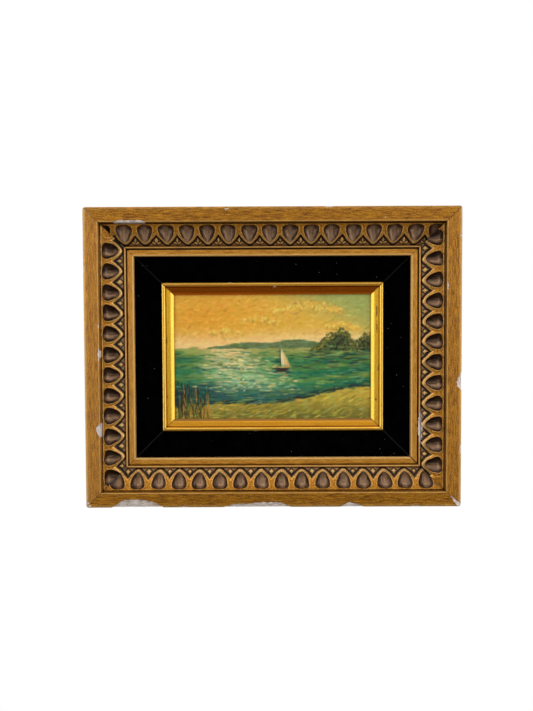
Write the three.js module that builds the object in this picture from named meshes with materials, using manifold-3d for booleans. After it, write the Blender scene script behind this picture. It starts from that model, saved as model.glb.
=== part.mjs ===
// A small oil painting on a canvas panel, in a carved and gilded frame with a black velvet liner and a
// bright gilt slip. Lengths are in millimetres. The picture is built flat, with x to the right, y up and z
// towards the viewer, and is then turned upright, so that +Z is up and the painted face looks along -Y.
// Its origin is where it hangs: the middle of the hanger's back face, which touches the wall.
import * as THREE from "three";
import { mergeVertices } from "three/addons/utils/BufferGeometryUtils.js";
import Module from "manifold-3d";

const wasm = await Module();
wasm.setup();

// Clearances
const fitGap = 0.3; // between a piece and the one it sits in or lies on
const mitreGap = 0.3; // between two lengths that meet at a corner

// Canvas panel, a nominal 6 by 4 inch board
const panelWidth = 152.4;
const panelHeight = 101.0;
const panelThickness = 3.0;
const panelOverlap = 6.35; // how much of the panel the slip hides on each side
const panelBack = 6.0; // from the rails' back face to the panel's

// Widths of the three mouldings as they show from the front
const railWidth = 31.4;
const velvetWidth = 17.2;
const slipWidth = 8.55;

// Outer frame rail, with heights measured from its back face
const railDepth = 34.0;
const arrisRadius = 1.0;
const bandWidth = 10.2;
const bandFall = 0.5; // the flat band drops this much towards its outer edge
const quirkWidth = 0.8;
const quirkDepth = 7.4; // below the band
const filletWidth = 1.1;
const filletRise = 1.0; // above the carved ground beside it
const lineWidth = 0.6;
const lineDepth = 0.9;
const innerBandWidth = 4.8;
const innerBandHeight = 22.3;
const innerBandRound = 0.5;
const lipThickness = 3.0;
const rabbetWidth = 6.2;

// Leaves on the rail, on a slope that falls from the band to the fillet. Places across it are distances from
// the rail's outer edge.
const leafPitch = 14.13;
const leafTop = 4.8; // the slope's outer end lies this far below the band
const leafFall = 4.8; // and its inner end this far below that
const leafStart = 11.0;
const leafTip = 23.5;
const notchStart = 18.6; // where two neighbouring leaves part
const leafSwell = 1.1; // a leaf's round end stands out this far beyond the webs beside it
const groundDepth = 1.6; // below the leaves' rims
const hollowWidth = 10.8;
const hollowStart = 11.6;
const hollowEnd = 22.3;
const hollowDepth = 2.4;
const ribRise = 1.1; // the rib down the middle of each hollow
const beadDropWidth = 2.6;
const beadDropLength = 4.2;
const beadDropHeight = 1.1;
const beadDropAt = 21.6;
// A leaf's place along each length, counted clockwise round the frame from the middle of that side
const leafOffset = { top: -1.8, right: 3.7, bottom: -5.7, left: 2.5 };

// Velvet liner
const linerInnerHeight = 14.2;
const linerEdgeThickness = 2.2;
const linerRabbetWidth = 5.0;
const linerBack = 3.0; // its back lies this far inside the rails' back face

// Gilt slip
const beadWidth = 2.4;
const beadHeight = 14.9;
const beadBase = 13.1;
const beadQuirkWidth = 0.35;
const coveTop = 13.6;
const coveFloor = 10.4;
const sightBandWidth = 1.8;
const sightBandHeight = 10.9;
const slipEdgeThickness = 1.0;
const slipBack = 4.0;

// Retaining points, thin steel triangles that hold the panel and the liner in from behind
const pointLength = 11.0;
const pointWidth = 6.0;
const pointThickness = 0.6;
const pointBite = 4.0; // the length that is driven into the wood
const pointFromCorner = 78.0; // from the frame's corner to a point that holds the liner

// Hanger on the back of the top rail
const hangerLength = 44.0;
const hangerHeight = 8.0;
const hangerSheet = 0.8;
const hangerRaise = 1.8; // how far its toothed middle stands off its feet
const hangerFoot = 8.0; // the length of each flat end
const hangerRamp = 3.0;
const hangerBelowTop = 12.6; // from the frame's top edge to the hanger's middle
const toothPitch = 2.2;
const toothDepth = 1.5;
const toothCount = 8;
const nailShank = 1.3;
const nailLength = 11.0;
const nailHead = 3.4;
const nailHeadThickness = 0.8;

// Losses along the edges of the flat band. from and to lie along the length, clockwise round the frame and
// counted from the middle of that side. reach is how far a loss comes in from the edge, drop is how deep it
// is at that edge, and outline is its reach from one end to the other, as shares.
const losses = {
  bottom: [
    { from: 74.6, to: 109.5, reach: 5.7, drop: 2.6, outline: [0, 0.7, 0.95, 1, 0.85, 0] },
    { from: -12.3, to: 33.7, reach: 3.5, drop: 1.9, outline: [0, 0.95, 1, 0.95, 0.75, 0.7, 0] },
    { from: -61.1, to: -45.5, reach: 3.0, drop: 1.6, outline: [0, 0.6, 1, 0.9, 0] },
  ],
  right: [
    { from: 10.2, to: 22.3, reach: 3.3, drop: 1.6, outline: [0, 0.6, 1, 0.9, 0] },
  ],
  left: [
    { from: -53.5, to: -43.8, reach: 2.9, drop: 1.2, outline: [0, 0.6, 1, 0.7, 0], inner: true },
  ],
  top: [
    { from: -106.3, to: -85.8, reach: 2.1, drop: 0.9, outline: [0, 0.9, 1, 0.9, 0], inner: true },
  ],
};

// Sizes that follow from those above. Distances across are from the frame's outer edge.
const margin = railWidth + velvetWidth + slipWidth;
const frameWidth = panelWidth - 2 * panelOverlap + 2 * margin;
const frameHeight = panelHeight - 2 * panelOverlap + 2 * margin;
const slipOuter = railWidth + velvetWidth;
const panelEdge = margin - panelOverlap;
const rabbetWall = railWidth - rabbetWidth;
const lipUnderside = innerBandHeight - lipThickness;
const linerRabbetWall = slipOuter - linerRabbetWidth;
const panelFront = panelBack + panelThickness;
const hangerBack = fitGap + hangerRaise + hangerSheet; // behind the rails' back face

const woodFinish = { color: 0xb98a4a, roughness: 0.5, metalness: 0.45 };
const velvetFinish = { color: 0x050505, roughness: 1.0, metalness: 0.0 };
const giltFinish = { color: 0xd8a93a, roughness: 0.35, metalness: 0.8 };
const paintFinish = { color: 0xb59a5a, roughness: 0.6, metalness: 0.0 };
const steelFinish = { color: 0xa9a59c, roughness: 0.4, metalness: 0.9 };

// A closed geometry as a solid that can be joined and cut, without triangles that have shrunk to a line.
function solid(geometry) {
  const bare = geometry.clone();
  bare.deleteAttribute("normal");
  bare.deleteAttribute("uv");
  const merged = mergeVertices(bare, 1e-4);
  const corners = [];
  for (let i = 0; i < merged.index.count; i += 3) {
    const triangle = [0, 1, 2].map((k) => merged.index.getX(i + k));
    if (new Set(triangle).size === 3) corners.push(...triangle);
  }
  return new wasm.Manifold(
    new wasm.Mesh({
      numProp: 3,
      vertProperties: merged.attributes.position.array,
      triVerts: Uint32Array.from(corners),
    }),
  );
}

// A solid as a mesh with its own name and finish.
function meshOf(shape, name, finish) {
  const raw = shape.getMesh();
  const geometry = new THREE.BufferGeometry();
  geometry.setAttribute("position", new THREE.BufferAttribute(Float32Array.from(raw.vertProperties), 3));
  geometry.setIndex(new THREE.BufferAttribute(Uint32Array.from(raw.triVerts), 1));
  geometry.computeVertexNormals();
  const mesh = new THREE.Mesh(geometry, new THREE.MeshStandardMaterial(finish));
  mesh.name = name;
  return mesh;
}

const joinAll = (body, shapes) => shapes.reduce((made, shape) => made.add(shape), body);
const cutAll = (body, tools) => tools.reduce((made, tool) => made.subtract(tool), body);

const outlineOf = (points) => new THREE.Shape(points.map(([x, y]) => new THREE.Vector2(x, y)));

// A flat outline with a thickness, standing on z = 0.
function plate(points, thickness) {
  return new THREE.ExtrudeGeometry(outlineOf(points), { depth: thickness, bevelEnabled: false });
}

// A length of moulding, from section points [across, height]. It lies along x, with its outer edge at y = 0,
// its width towards -y and its height along z.
const sectionToLength = new THREE.Matrix4().makeBasis(
  new THREE.Vector3(0, -1, 0),
  new THREE.Vector3(0, 0, 1),
  new THREE.Vector3(-1, 0, 0),
);

function moulding(section, length) {
  const body = plate(section, length).translate(0, 0, -length / 2);
  return solid(body.applyMatrix4(sectionToLength));
}

// The space that one length may fill, with both ends cut at 45 degrees.
function mitreBlock(length) {
  const proud = 1;
  const half = length / 2 - (mitreGap / 2) * Math.SQRT2;
  const reach = margin + proud;
  const outline = [
    [-half - proud, proud],
    [-half + reach, -reach],
    [half - reach, -reach],
    [half + proud, proud],
  ];
  return solid(plate(outline, railDepth + 2 * proud).translate(0, 0, -proud));
}

// Section points along a curve from one point to another, drawn towards a third one.
function curved(from, towards, to, steps) {
  const ends = [from, towards, to].map(([x, y]) => new THREE.Vector2(x, y));
  return new THREE.QuadraticBezierCurve(...ends).getPoints(steps).map((p) => [p.x, p.y]);
}

// The slope that the leaves lie on.
const slopeAngle = Math.atan2(leafFall, leafTip - leafStart);
const slopeTop = railDepth - leafTop;
const downSlope = (across) => -(across - leafStart) / Math.cos(slopeAngle);
const groundTop = slopeTop - groundDepth / Math.cos(slopeAngle);
const groundAt = (across) => groundTop - Math.tan(slopeAngle) * (across - leafStart);

function railSection() {
  const lineEnd = railWidth - innerBandWidth;
  const filletEnd = lineEnd - lineWidth;
  const filletStart = filletEnd - filletWidth;
  const filletTop = groundAt(filletStart) + filletRise;
  const quirkEnd = leafStart + quirkWidth;
  return [
    [0, 0],
    [rabbetWall, 0],
    [rabbetWall, lipUnderside],
    [railWidth, lipUnderside],
    ...curved(
      [railWidth, innerBandHeight - innerBandRound],
      [railWidth, innerBandHeight],
      [railWidth - innerBandRound, innerBandHeight],
      2,
    ),
    [lineEnd, innerBandHeight],
    [lineEnd - lineWidth / 2, innerBandHeight - lineDepth],
    [filletEnd, filletTop],
    [filletStart, filletTop],
    [filletStart, groundAt(filletStart)],
    [quirkEnd, groundAt(quirkEnd)],
    [leafStart, railDepth - quirkDepth],
    [bandWidth, railDepth - quirkDepth],
    [bandWidth, railDepth],
    ...curved(
      [arrisRadius, railDepth - bandFall],
      [0, railDepth - bandFall],
      [0, railDepth - bandFall - arrisRadius],
      3,
    ),
  ];
}

// Puts a shape in its place on the slope. It is drawn with x along the rail, y up the slope and z out of it.
function ontoSlope(geometry) {
  return solid(geometry.rotateX(slopeAngle).translate(0, -leafStart, slopeTop));
}

// Centres of the leaves that fall on one length.
function leafCentres(length, offset) {
  const most = Math.ceil(length / leafPitch);
  const places = Array.from({ length: 2 * most + 1 }, (_, i) => offset + (i - most) * leafPitch);
  return places.filter((place) => Math.abs(place) < length / 2);
}

// The raised band of leaves, with a scalloped outer edge and pointed arches towards the picture.
function leafBand(centres) {
  const steps = 4;
  const archPower = 1.35;
  const sunk = groundDepth + 1.2;
  const notch = downSlope(notchStart);
  const tip = downSlope(leafTip);
  const outer = [];
  const inner = [];
  for (const centre of centres) {
    const start = centre - leafPitch / 2;
    for (let i = 0; i < steps; i++) {
      outer.push([start + (leafPitch * i) / steps, leafSwell * (Math.sin((Math.PI * i) / steps) - 1)]);
    }
    for (let i = -steps; i < steps; i++) {
      const share = 1 - Math.abs(i) / steps;
      const halfWidth = (leafPitch / 2) * (1 - share ** archPower);
      inner.push([centre + Math.sign(i) * halfWidth, notch + share * (tip - notch)]);
    }
  }
  const end = centres[centres.length - 1] + leafPitch / 2;
  outer.push([end, -leafSwell]);
  inner.push([end, notch]);
  return ontoSlope(plate([...inner, ...outer.reverse()], sunk).translate(0, 0, -sunk));
}

// The scoop that hollows one leaf. In plan it is an egg with its point towards the picture, and its floor
// rises to a rib down the middle.
const scoopSides = 12;
const scoopTaper = 0.3;
const scoopFloor = 0.55; // the floor's width, as a share of the hollow's
const scoopWidest = 0.841; // the egg's greatest half width before it is scaled to the hollow's

function scoop(centre) {
  const above = 1.5;
  const section = [
    [0, -hollowDepth],
    [scoopFloor, -hollowDepth],
    [1, 0],
    [1, above],
    [0, above],
  ].map(([x, y]) => new THREE.Vector2(x, y));
  const bowl = new THREE.LatheGeometry(section, scoopSides);
  const middle = (downSlope(hollowStart) + downSlope(hollowEnd)) / 2;
  const halfLength = (downSlope(hollowStart) - downSlope(hollowEnd)) / 2;
  const spot = new THREE.Vector3();
  const onRib = 0.01;
  for (let i = 0; i < bowl.attributes.position.count; i++) {
    spot.fromBufferAttribute(bowl.attributes.position, i);
    const radius = Math.hypot(spot.x, spot.z);
    const place = radius > 0 ? spot.z / radius : 0;
    const taper = ((1 - place) / 2) ** scoopTaper / scoopWidest;
    const rib = spot.y < 0 && Math.abs(spot.x) < onRib ? ribRise : 0;
    bowl.attributes.position.setXYZ(
      i,
      centre + ((spot.x * hollowWidth) / 2) * taper,
      middle - spot.z * halfLength,
      spot.y + rib,
    );
  }
  return ontoSlope(bowl);
}

// The small pointed drop in the ground between two leaf tips.
function beadDrop(centre) {
  const sunk = 0.6;
  const height = beadDropHeight + sunk;
  const spread = height / beadDropHeight;
  const drop = new THREE.ConeGeometry(0.5, height, 4).rotateX(Math.PI / 2);
  drop.scale(beadDropWidth * spread, beadDropLength * spread, 1);
  drop.translate(centre, downSlope(beadDropAt), height / 2 - sunk - groundDepth);
  return ontoSlope(drop);
}

// The tool for one loss, a patch with an uneven outline. Its floor slopes down to the edge that was knocked.
function lossTool({ from, to, reach, drop, outline, inner = false }) {
  const over = 1.5;
  const height = 6;
  const edge = inner ? -bandWidth : 0;
  const side = inner ? 1 : -1;
  const step = (to - from) / (outline.length - 1);
  const patch = plate(
    [
      [from, edge - side * over],
      ...outline.map((share, i) => [from + i * step, edge + side * share * reach]),
      [to, edge - side * over],
    ],
    height,
  );
  const hinge = edge + side * reach;
  patch.translate(0, -hinge, 0).rotateX(side * Math.atan2(drop, reach));
  return solid(patch.translate(0, hinge, railDepth - (inner ? 0 : bandFall)));
}

// One retaining point in plan, with its tip driven towards +y and the wood's face at y = 0. The slot that it
// sits in is the same outline grown by the clearance.
function pointOutline(grow) {
  const halfAngle = Math.atan2(pointWidth / 2, pointLength);
  const tip = pointBite + grow / Math.sin(halfAngle);
  const base = pointBite - pointLength - grow;
  const half = (tip - base) * Math.tan(halfAngle);
  return [
    [-half, base],
    [half, base],
    [0, tip],
  ];
}

const pointPlate = ({ along, across, height }) =>
  solid(plate(pointOutline(0), pointThickness).translate(along, -across, height));
const pointSlot = ({ along, across, height }) =>
  solid(plate(pointOutline(fitGap), pointThickness + 2 * fitGap).translate(along, -across, height - fitGap));

// Where the points sit on a length: two in the rail behind the liner, and one in the slip behind the panel.
const pointsInRail = (length) =>
  [-1, 1].map((side) => ({
    along: side * (length / 2 - pointFromCorner),
    across: rabbetWall,
    height: linerBack - fitGap - pointThickness,
  }));
const pointInSlip = { along: 0, across: panelEdge - fitGap, height: panelBack - fitGap - pointThickness };

function bore(diameter, from, to, x, y) {
  const shaft = new THREE.CylinderGeometry(diameter / 2, diameter / 2, to - from, 10).rotateX(Math.PI / 2);
  return solid(shaft.translate(x, y, (from + to) / 2));
}

// Nails through the hanger's feet, as places on the top length.
const nailOut = (hangerLength - hangerFoot) / 2;
const nailPlaces = [-nailOut, nailOut].map((x) => ({ x, y: -hangerBelowTop }));
const nailHeadInside = -(2 * fitGap + hangerSheet); // heights are from the rail's back face
const nailTip = nailHeadInside + nailLength;

const nailHole = ({ x, y }) => bore(nailShank + 2 * fitGap, -hangerBack, nailTip + fitGap, x, y);

function nail({ x, y }) {
  const pointed = 1.5;
  const section = [
    [0, nailHeadInside - nailHeadThickness],
    [nailHead / 2, nailHeadInside - nailHeadThickness],
    [nailHead / 2, nailHeadInside],
    [nailShank / 2, nailHeadInside],
    [nailShank / 2, nailTip - pointed],
    [0, nailTip],
  ].map(([radius, height]) => new THREE.Vector2(radius, height));
  return solid(new THREE.LatheGeometry(section, 10).rotateX(Math.PI / 2).translate(x, y, 0));
}

// The hanger, a strip bent so that its middle stands off the wood, with teeth along the middle's lower edge.
function hanger() {
  const end = hangerLength / 2;
  const foot = end - hangerFoot;
  const middle = foot - hangerRamp;
  const inside = [
    [-end, 0],
    [-foot, 0],
    [-middle, -hangerRaise],
    [middle, -hangerRaise],
    [foot, 0],
    [end, 0],
  ];
  const outside = inside.map(([x, height]) => [x, height - hangerSheet]).reverse();
  const strip = plate([...inside, ...outside], hangerHeight).translate(0, 0, -hangerHeight / 2);
  strip.rotateX(Math.PI / 2).translate(0, -hangerBelowTop, -fitGap);
  const lower = -hangerBelowTop - hangerHeight / 2;
  const through = 2 * hangerBack;
  const teeth = Array.from({ length: toothCount }, (_, i) => {
    const x = (i - (toothCount - 1) / 2) * toothPitch;
    const notch = [
      [x - toothPitch / 2, lower - fitGap],
      [x + toothPitch / 2, lower - fitGap],
      [x, lower + toothDepth],
    ];
    return solid(plate(notch, through).translate(0, 0, -through));
  });
  return cutAll(solid(strip), [...teeth, ...nailPlaces.map(nailHole)]);
}

function rail(side, length) {
  const centres = leafCentres(length, leafOffset[side]);
  const gaps = [centres[0] - leafPitch / 2, ...centres.map((centre) => centre + leafPitch / 2)];
  const raised = joinAll(moulding(railSection(), length), [leafBand(centres), ...gaps.map(beadDrop)]);
  const carved = cutAll(raised, [...centres.map(scoop), ...losses[side].map(lossTool)]);
  const nailHoles = side === "top" ? nailPlaces.map(nailHole) : [];
  const fixings = [...pointsInRail(length).map(pointSlot), ...nailHoles];
  return cutAll(carved, fixings).intersect(mitreBlock(length));
}

function liner(length) {
  const section = [
    [rabbetWall + fitGap, linerBack],
    [linerRabbetWall, linerBack],
    [linerRabbetWall, linerInnerHeight - linerEdgeThickness],
    [slipOuter, linerInnerHeight - linerEdgeThickness],
    [slipOuter, linerInnerHeight],
    [railWidth, lipUnderside - fitGap],
    [rabbetWall + fitGap, lipUnderside - fitGap],
  ];
  return moulding(section, length).intersect(mitreBlock(length));
}

function slip(length) {
  const beadStart = slipOuter + fitGap;
  const beadSteps = 6;
  const bead = Array.from({ length: beadSteps + 1 }, (_, i) => {
    const turn = (Math.PI * i) / beadSteps;
    const across = beadStart + (beadWidth / 2) * (1 + Math.cos(turn));
    return [across, beadBase + (beadHeight - beadBase) * Math.sin(turn)];
  });
  const coveStart = beadStart + beadWidth + beadQuirkWidth;
  const sightBand = margin - sightBandWidth;
  const flangeTop = linerInnerHeight - linerEdgeThickness - fitGap;
  const section = [
    [linerRabbetWall + fitGap, slipBack],
    [panelEdge - fitGap, slipBack],
    [panelEdge - fitGap, panelFront + fitGap],
    [margin, panelFront + fitGap],
    ...curved(
      [margin, panelFront + fitGap + slipEdgeThickness],
      [margin, sightBandHeight],
      [margin - sightBandWidth / 2, sightBandHeight],
      2,
    ),
    ...curved([sightBand, coveFloor], [coveStart + beadQuirkWidth, coveFloor], [coveStart, coveTop], 5),
    ...bead,
    [beadStart, flangeTop],
    [linerRabbetWall + fitGap, flangeTop],
  ];
  return cutAll(moulding(section, length), [pointSlot(pointInSlip)]).intersect(mitreBlock(length));
}

// The four sides, clockwise from the top as seen from the front.
const sides = [
  { side: "top", turn: 0, length: frameWidth, away: frameHeight / 2 },
  { side: "right", turn: -Math.PI / 2, length: frameHeight, away: frameWidth / 2 },
  { side: "bottom", turn: Math.PI, length: frameWidth, away: frameHeight / 2 },
  { side: "left", turn: Math.PI / 2, length: frameHeight, away: frameWidth / 2 },
];

const picture = new THREE.Group();

for (const { side, turn, length, away } of sides) {
  const place = new THREE.Group();
  place.rotation.z = turn;
  place.position.set(away * Math.sin(-turn), away * Math.cos(turn), 0);
  place.add(meshOf(rail(side, length), `rail_${side}`, woodFinish));
  place.add(meshOf(liner(length), `velvet_${side}`, velvetFinish));
  place.add(meshOf(slip(length), `slip_${side}`, giltFinish));
  pointsInRail(length).forEach((spot, i) => {
    place.add(meshOf(pointPlate(spot), `liner_point_${side}_${i + 1}`, steelFinish));
  });
  place.add(meshOf(pointPlate(pointInSlip), `panel_point_${side}`, steelFinish));
  if (side === "top") {
    place.add(meshOf(hanger(), "hanger", steelFinish));
    nailPlaces.forEach((spot, i) => place.add(meshOf(nail(spot), `hanger_nail_${i + 1}`, steelFinish)));
  }
  picture.add(place);
}

const panel = new THREE.BoxGeometry(panelWidth, panelHeight, panelThickness);
const canvasPanel = new THREE.Mesh(panel, new THREE.MeshStandardMaterial(paintFinish));
canvasPanel.name = "canvas_panel";
canvasPanel.position.z = panelBack + panelThickness / 2;
picture.add(canvasPanel);

// Turned upright, with the middle of the hanger's back face at the origin.
picture.rotation.x = Math.PI / 2;
picture.position.set(0, -hangerBack, hangerBelowTop - frameHeight / 2);

const framedPainting = new THREE.Group();
framedPainting.add(picture);

export default framedPainting;
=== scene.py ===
# %% [markdown]
# # A small oil painting in a carved and gilded frame
# The picture is a 6 by 4 inch canvas board behind a bright gilt slip and a black velvet liner, in a heavy
# moulding with a row of hollowed leaves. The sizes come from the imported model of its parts, which this
# script loads first. Everything is in metres, with +Z up and the painted face looking along -Y.

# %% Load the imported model
import math

import bpy
import numpy as np
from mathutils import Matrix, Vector


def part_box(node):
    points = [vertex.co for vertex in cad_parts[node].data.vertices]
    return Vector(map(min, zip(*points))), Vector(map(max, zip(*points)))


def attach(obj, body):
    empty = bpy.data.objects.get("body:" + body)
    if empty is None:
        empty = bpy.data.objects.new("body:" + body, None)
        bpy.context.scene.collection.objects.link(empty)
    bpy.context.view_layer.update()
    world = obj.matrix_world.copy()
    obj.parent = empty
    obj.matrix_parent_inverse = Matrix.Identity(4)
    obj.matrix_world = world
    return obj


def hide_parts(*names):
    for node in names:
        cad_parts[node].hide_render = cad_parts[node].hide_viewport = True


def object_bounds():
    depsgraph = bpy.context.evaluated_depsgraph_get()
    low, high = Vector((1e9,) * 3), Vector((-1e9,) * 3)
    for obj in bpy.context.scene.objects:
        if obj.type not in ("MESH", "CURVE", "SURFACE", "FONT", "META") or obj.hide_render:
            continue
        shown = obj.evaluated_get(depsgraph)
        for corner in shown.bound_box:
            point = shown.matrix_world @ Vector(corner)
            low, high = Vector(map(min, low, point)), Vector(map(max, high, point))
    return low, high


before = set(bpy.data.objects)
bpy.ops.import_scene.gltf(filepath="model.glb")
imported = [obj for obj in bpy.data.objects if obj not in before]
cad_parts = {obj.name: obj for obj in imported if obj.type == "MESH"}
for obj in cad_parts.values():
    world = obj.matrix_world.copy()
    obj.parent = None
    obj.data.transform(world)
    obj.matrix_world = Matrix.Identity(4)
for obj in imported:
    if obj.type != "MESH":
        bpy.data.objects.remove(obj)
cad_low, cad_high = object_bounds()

print("box of the packed model, in mm:", [round(1000 * (h - l), 1) for l, h in zip(cad_low, cad_high)])

# %% [markdown]
# The photograph was taken from close by, nearly square on and a touch above the middle, looking slightly
# down and held a quarter of a degree off level. The lens and the distance were worked out from how much
# smaller the inner edges look than the outer one.

# %% Place the camera where the photographer stood
MM = 0.001
front_y = cad_low[1]
middle = Vector(((cad_low[0] + cad_high[0]) / 2, front_y, (cad_low[2] + cad_high[2]) / 2))

camera_distance = 400 * MM
camera_left = 4.3 * MM
camera_above = 14.1 * MM
camera_tilt_down = math.radians(1.79)
camera_roll = math.radians(0.24)
focal_length = 30.17

camera_data = bpy.data.cameras.new("camera")
camera_data.lens = focal_length
camera_data.sensor_width = 36
camera_data.sensor_fit = "AUTO"
camera = bpy.data.objects.new("camera", camera_data)
bpy.context.scene.collection.objects.link(camera)
camera.location = middle + Vector((-camera_left, -camera_distance, camera_above))
camera.rotation_euler = (math.pi / 2 - camera_tilt_down, camera_roll, 0)
bpy.context.scene.camera = camera
print("camera at", [round(v, 3) for v in camera.location])

# %% [markdown]
# Shader maths is easier to read as sums and products than as a web of nodes. This small class wraps one
# output socket, so that an expression on it adds the Math nodes it stands for, and a finish holds one
# material with a single method that makes any other node.

# %% A socket that can be added and multiplied
class Value:
    def __init__(self, finish, socket):
        self.finish = finish
        self.socket = socket

    def maths(self, operation, *values):
        return self.finish.node("ShaderNodeMath", {"operation": operation}, dict(enumerate(values)))

    def __add__(self, other):
        return self.maths("ADD", self, other)

    def __radd__(self, other):
        return self.maths("ADD", other, self)

    def __sub__(self, other):
        return self.maths("SUBTRACT", self, other)

    def __rsub__(self, other):
        return self.maths("SUBTRACT", other, self)

    def __mul__(self, other):
        return self.maths("MULTIPLY", self, other)

    def __rmul__(self, other):
        return self.maths("MULTIPLY", other, self)

    def clamped(self):
        return self.finish.node("ShaderNodeClamp", {}, {0: self})

    def step(self, low, high):
        """0 below low, 1 above high, and smooth between them."""
        return self.finish.node(
            "ShaderNodeMapRange",
            {"interpolation_type": "SMOOTHSTEP"},
            {"Value": self, "From Min": low, "From Max": high},
        )


class Finish:
    def __init__(self, name):
        self.material = bpy.data.materials.new(name)
        self.material.use_nodes = True
        self.tree = self.material.node_tree
        self.shader = self.tree.nodes["Principled BSDF"]

    def plug(self, value, socket):
        if isinstance(value, Value):
            self.tree.links.new(value.socket, socket)
        else:
            socket.default_value = value

    def node(self, kind, settings, inputs, output=0):
        made = self.tree.nodes.new(kind)
        for name, value in settings.items():
            setattr(made, name, value)
        for name, value in inputs.items():
            self.plug(value, made.inputs[name])
        return Value(self, made.outputs[output])

    def mix(self, share, first, second):
        return self.node("ShaderNodeMix", {"data_type": "RGBA"}, {0: share, 6: first, 7: second}, output=2)

    def noise(self, where, scale, detail=2.0, roughness=0.5, stretch=None):
        if stretch:
            where = self.stretched(where, stretch)
        sizes = {"Vector": where, "Scale": scale, "Detail": detail, "Roughness": roughness}
        return self.node("ShaderNodeTexNoise", {}, sizes)

    def stretched(self, where, factors):
        return self.node("ShaderNodeVectorMath", {"operation": "MULTIPLY"}, {0: where, 1: factors})

    def attribute(self, name):
        return self.node("ShaderNodeAttribute", {"attribute_name": name}, {}, output=2)

    def vector_attribute(self, name):
        return self.node("ShaderNodeAttribute", {"attribute_name": name}, {}, output=1)

    def place(self):
        """Where a spot lies on the object, in mm."""
        metres = self.node("ShaderNodeTexCoord", {}, {}, output=3)
        return self.stretched(metres, (1000, 1000, 1000))

    def split(self, where):
        parts = self.node("ShaderNodeSeparateXYZ", {}, {0: where})
        return [Value(self, socket) for socket in parts.socket.node.outputs]

    def bump(self, height, distance, strength=1.0):
        inputs = {"Height": height, "Distance": distance, "Strength": strength}
        return self.node("ShaderNodeBump", {}, inputs)

    def set(self, **sockets):
        for name, value in sockets.items():
            self.plug(value, self.shader.inputs[name.replace("_", " ").title().replace("Ior", "IOR")])
        return self.material


def to_linear(shares):
    """Colour channels from 0 to 1, as they look on screen, as the linear values that shaders use."""
    return np.where(shares <= 0.04045, shares / 12.92, ((shares + 0.055) / 1.055) ** 2.4)


def srgb(red, green, blue):
    """A colour given as it looks on screen, from 0 to 255, as a shader's socket takes it."""
    return (*to_linear(np.array([red, green, blue]) / 255).tolist(), 1.0)


# %% [markdown]
# The mouldings are all made the same way. A real one is a straight length with one section, cut at 45
# degrees at both ends. Here a flat grid is added, its rows are laid round the section and its columns along
# the length, the seam is merged and the two ends are filled. A grid keeps the faces square and even, which
# is what fine carving needs, where an extruded outline would give long thin faces that can't take any
# relief.

# %% Where the four sides lie
rail_low, rail_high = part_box("rail_top")
left_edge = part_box("rail_left")[0][0]
right_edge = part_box("rail_right")[1][0]
top_edge = rail_high[2]
bottom_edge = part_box("rail_bottom")[0][2]
wall_y = rail_high[1]
frame_width = (right_edge - left_edge) / MM
frame_height = (top_edge - bottom_edge) / MM
rail_width = (rail_high[2] - rail_low[2]) / MM
rail_depth = (rail_high[1] - rail_low[1]) / MM
print("frame", round(frame_width, 1), "by", round(frame_height, 1), "mm")
print("rail", round(rail_width, 1), "mm wide")

sides = {
    "top": {"outward": (0, 1), "length": frame_width, "reach": frame_height / 2},
    "right": {"outward": (1, 0), "length": frame_height, "reach": frame_width / 2},
    "bottom": {"outward": (0, -1), "length": frame_width, "reach": frame_height / 2},
    "left": {"outward": (-1, 0), "length": frame_height, "reach": frame_width / 2},
}


def in_the_frame(side, along, across, height):
    """Places on a length, in mm and clockwise round the frame, as places in the frame, in metres."""
    out_x, out_z = sides[side]["outward"]
    outward = sides[side]["reach"] - across
    x = (outward * out_x + along * out_z) * MM + (left_edge + right_edge) / 2
    z = (outward * out_z - along * out_x) * MM + (top_edge + bottom_edge) / 2
    y = wall_y - height * MM
    return np.stack([x, y + 0 * x, z], axis=-1)


# %% Helpers for selecting and finishing
def deselect_all():
    for thing in bpy.context.selected_objects:
        thing.select_set(False)


def choose(piece):
    deselect_all()
    bpy.context.view_layer.objects.active = piece
    piece.select_set(True)


def edit(piece):
    choose(piece)
    bpy.ops.object.mode_set(mode="EDIT")


def select_vertices(piece, chosen):
    """Selects the vertices whose numbers are given, and nothing else."""
    bpy.ops.mesh.select_mode(type="VERT")
    bpy.ops.mesh.select_all(action="DESELECT")
    bpy.ops.object.mode_set(mode="OBJECT")
    flags = np.zeros(len(piece.data.vertices), dtype=bool)
    flags[chosen] = True
    piece.data.vertices.foreach_set("select", flags)
    bpy.ops.object.mode_set(mode="EDIT")


def add_values(piece, name, values):
    """Stores one number, or a place on a flat pattern, for each vertex."""
    kind = "FLOAT" if values.ndim == 1 else "FLOAT2"
    layer = piece.data.attributes.new(name, kind, "POINT")
    key = "value" if values.ndim == 1 else "vector"
    layer.data.foreach_set(key, np.ascontiguousarray(values, "f").ravel())


def finish_piece(piece, material, slot, *nodes, smooth_angle=40):
    piece.data.materials.clear()
    piece.data.materials.append(material)
    choose(piece)
    bpy.ops.object.shade_smooth_by_angle(angle=math.radians(smooth_angle))
    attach(piece, "root")
    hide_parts(*nodes)


# %% A length of moulding from a grid
def straight(start, end, rows):
    """Section points from one corner up to, but not including, the next."""
    shares = np.arange(rows)[:, None] / rows
    return np.array(start) + shares * (np.array(end) - np.array(start))


def rounded(start, towards, end, rows):
    shares = np.arange(rows)[:, None] / rows
    start, towards, end = np.array(start), np.array(towards), np.array(end)
    return (1 - shares) ** 2 * start + 2 * shares * (1 - shares) * towards + shares**2 * end


mitre_gap = 0.06


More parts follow.
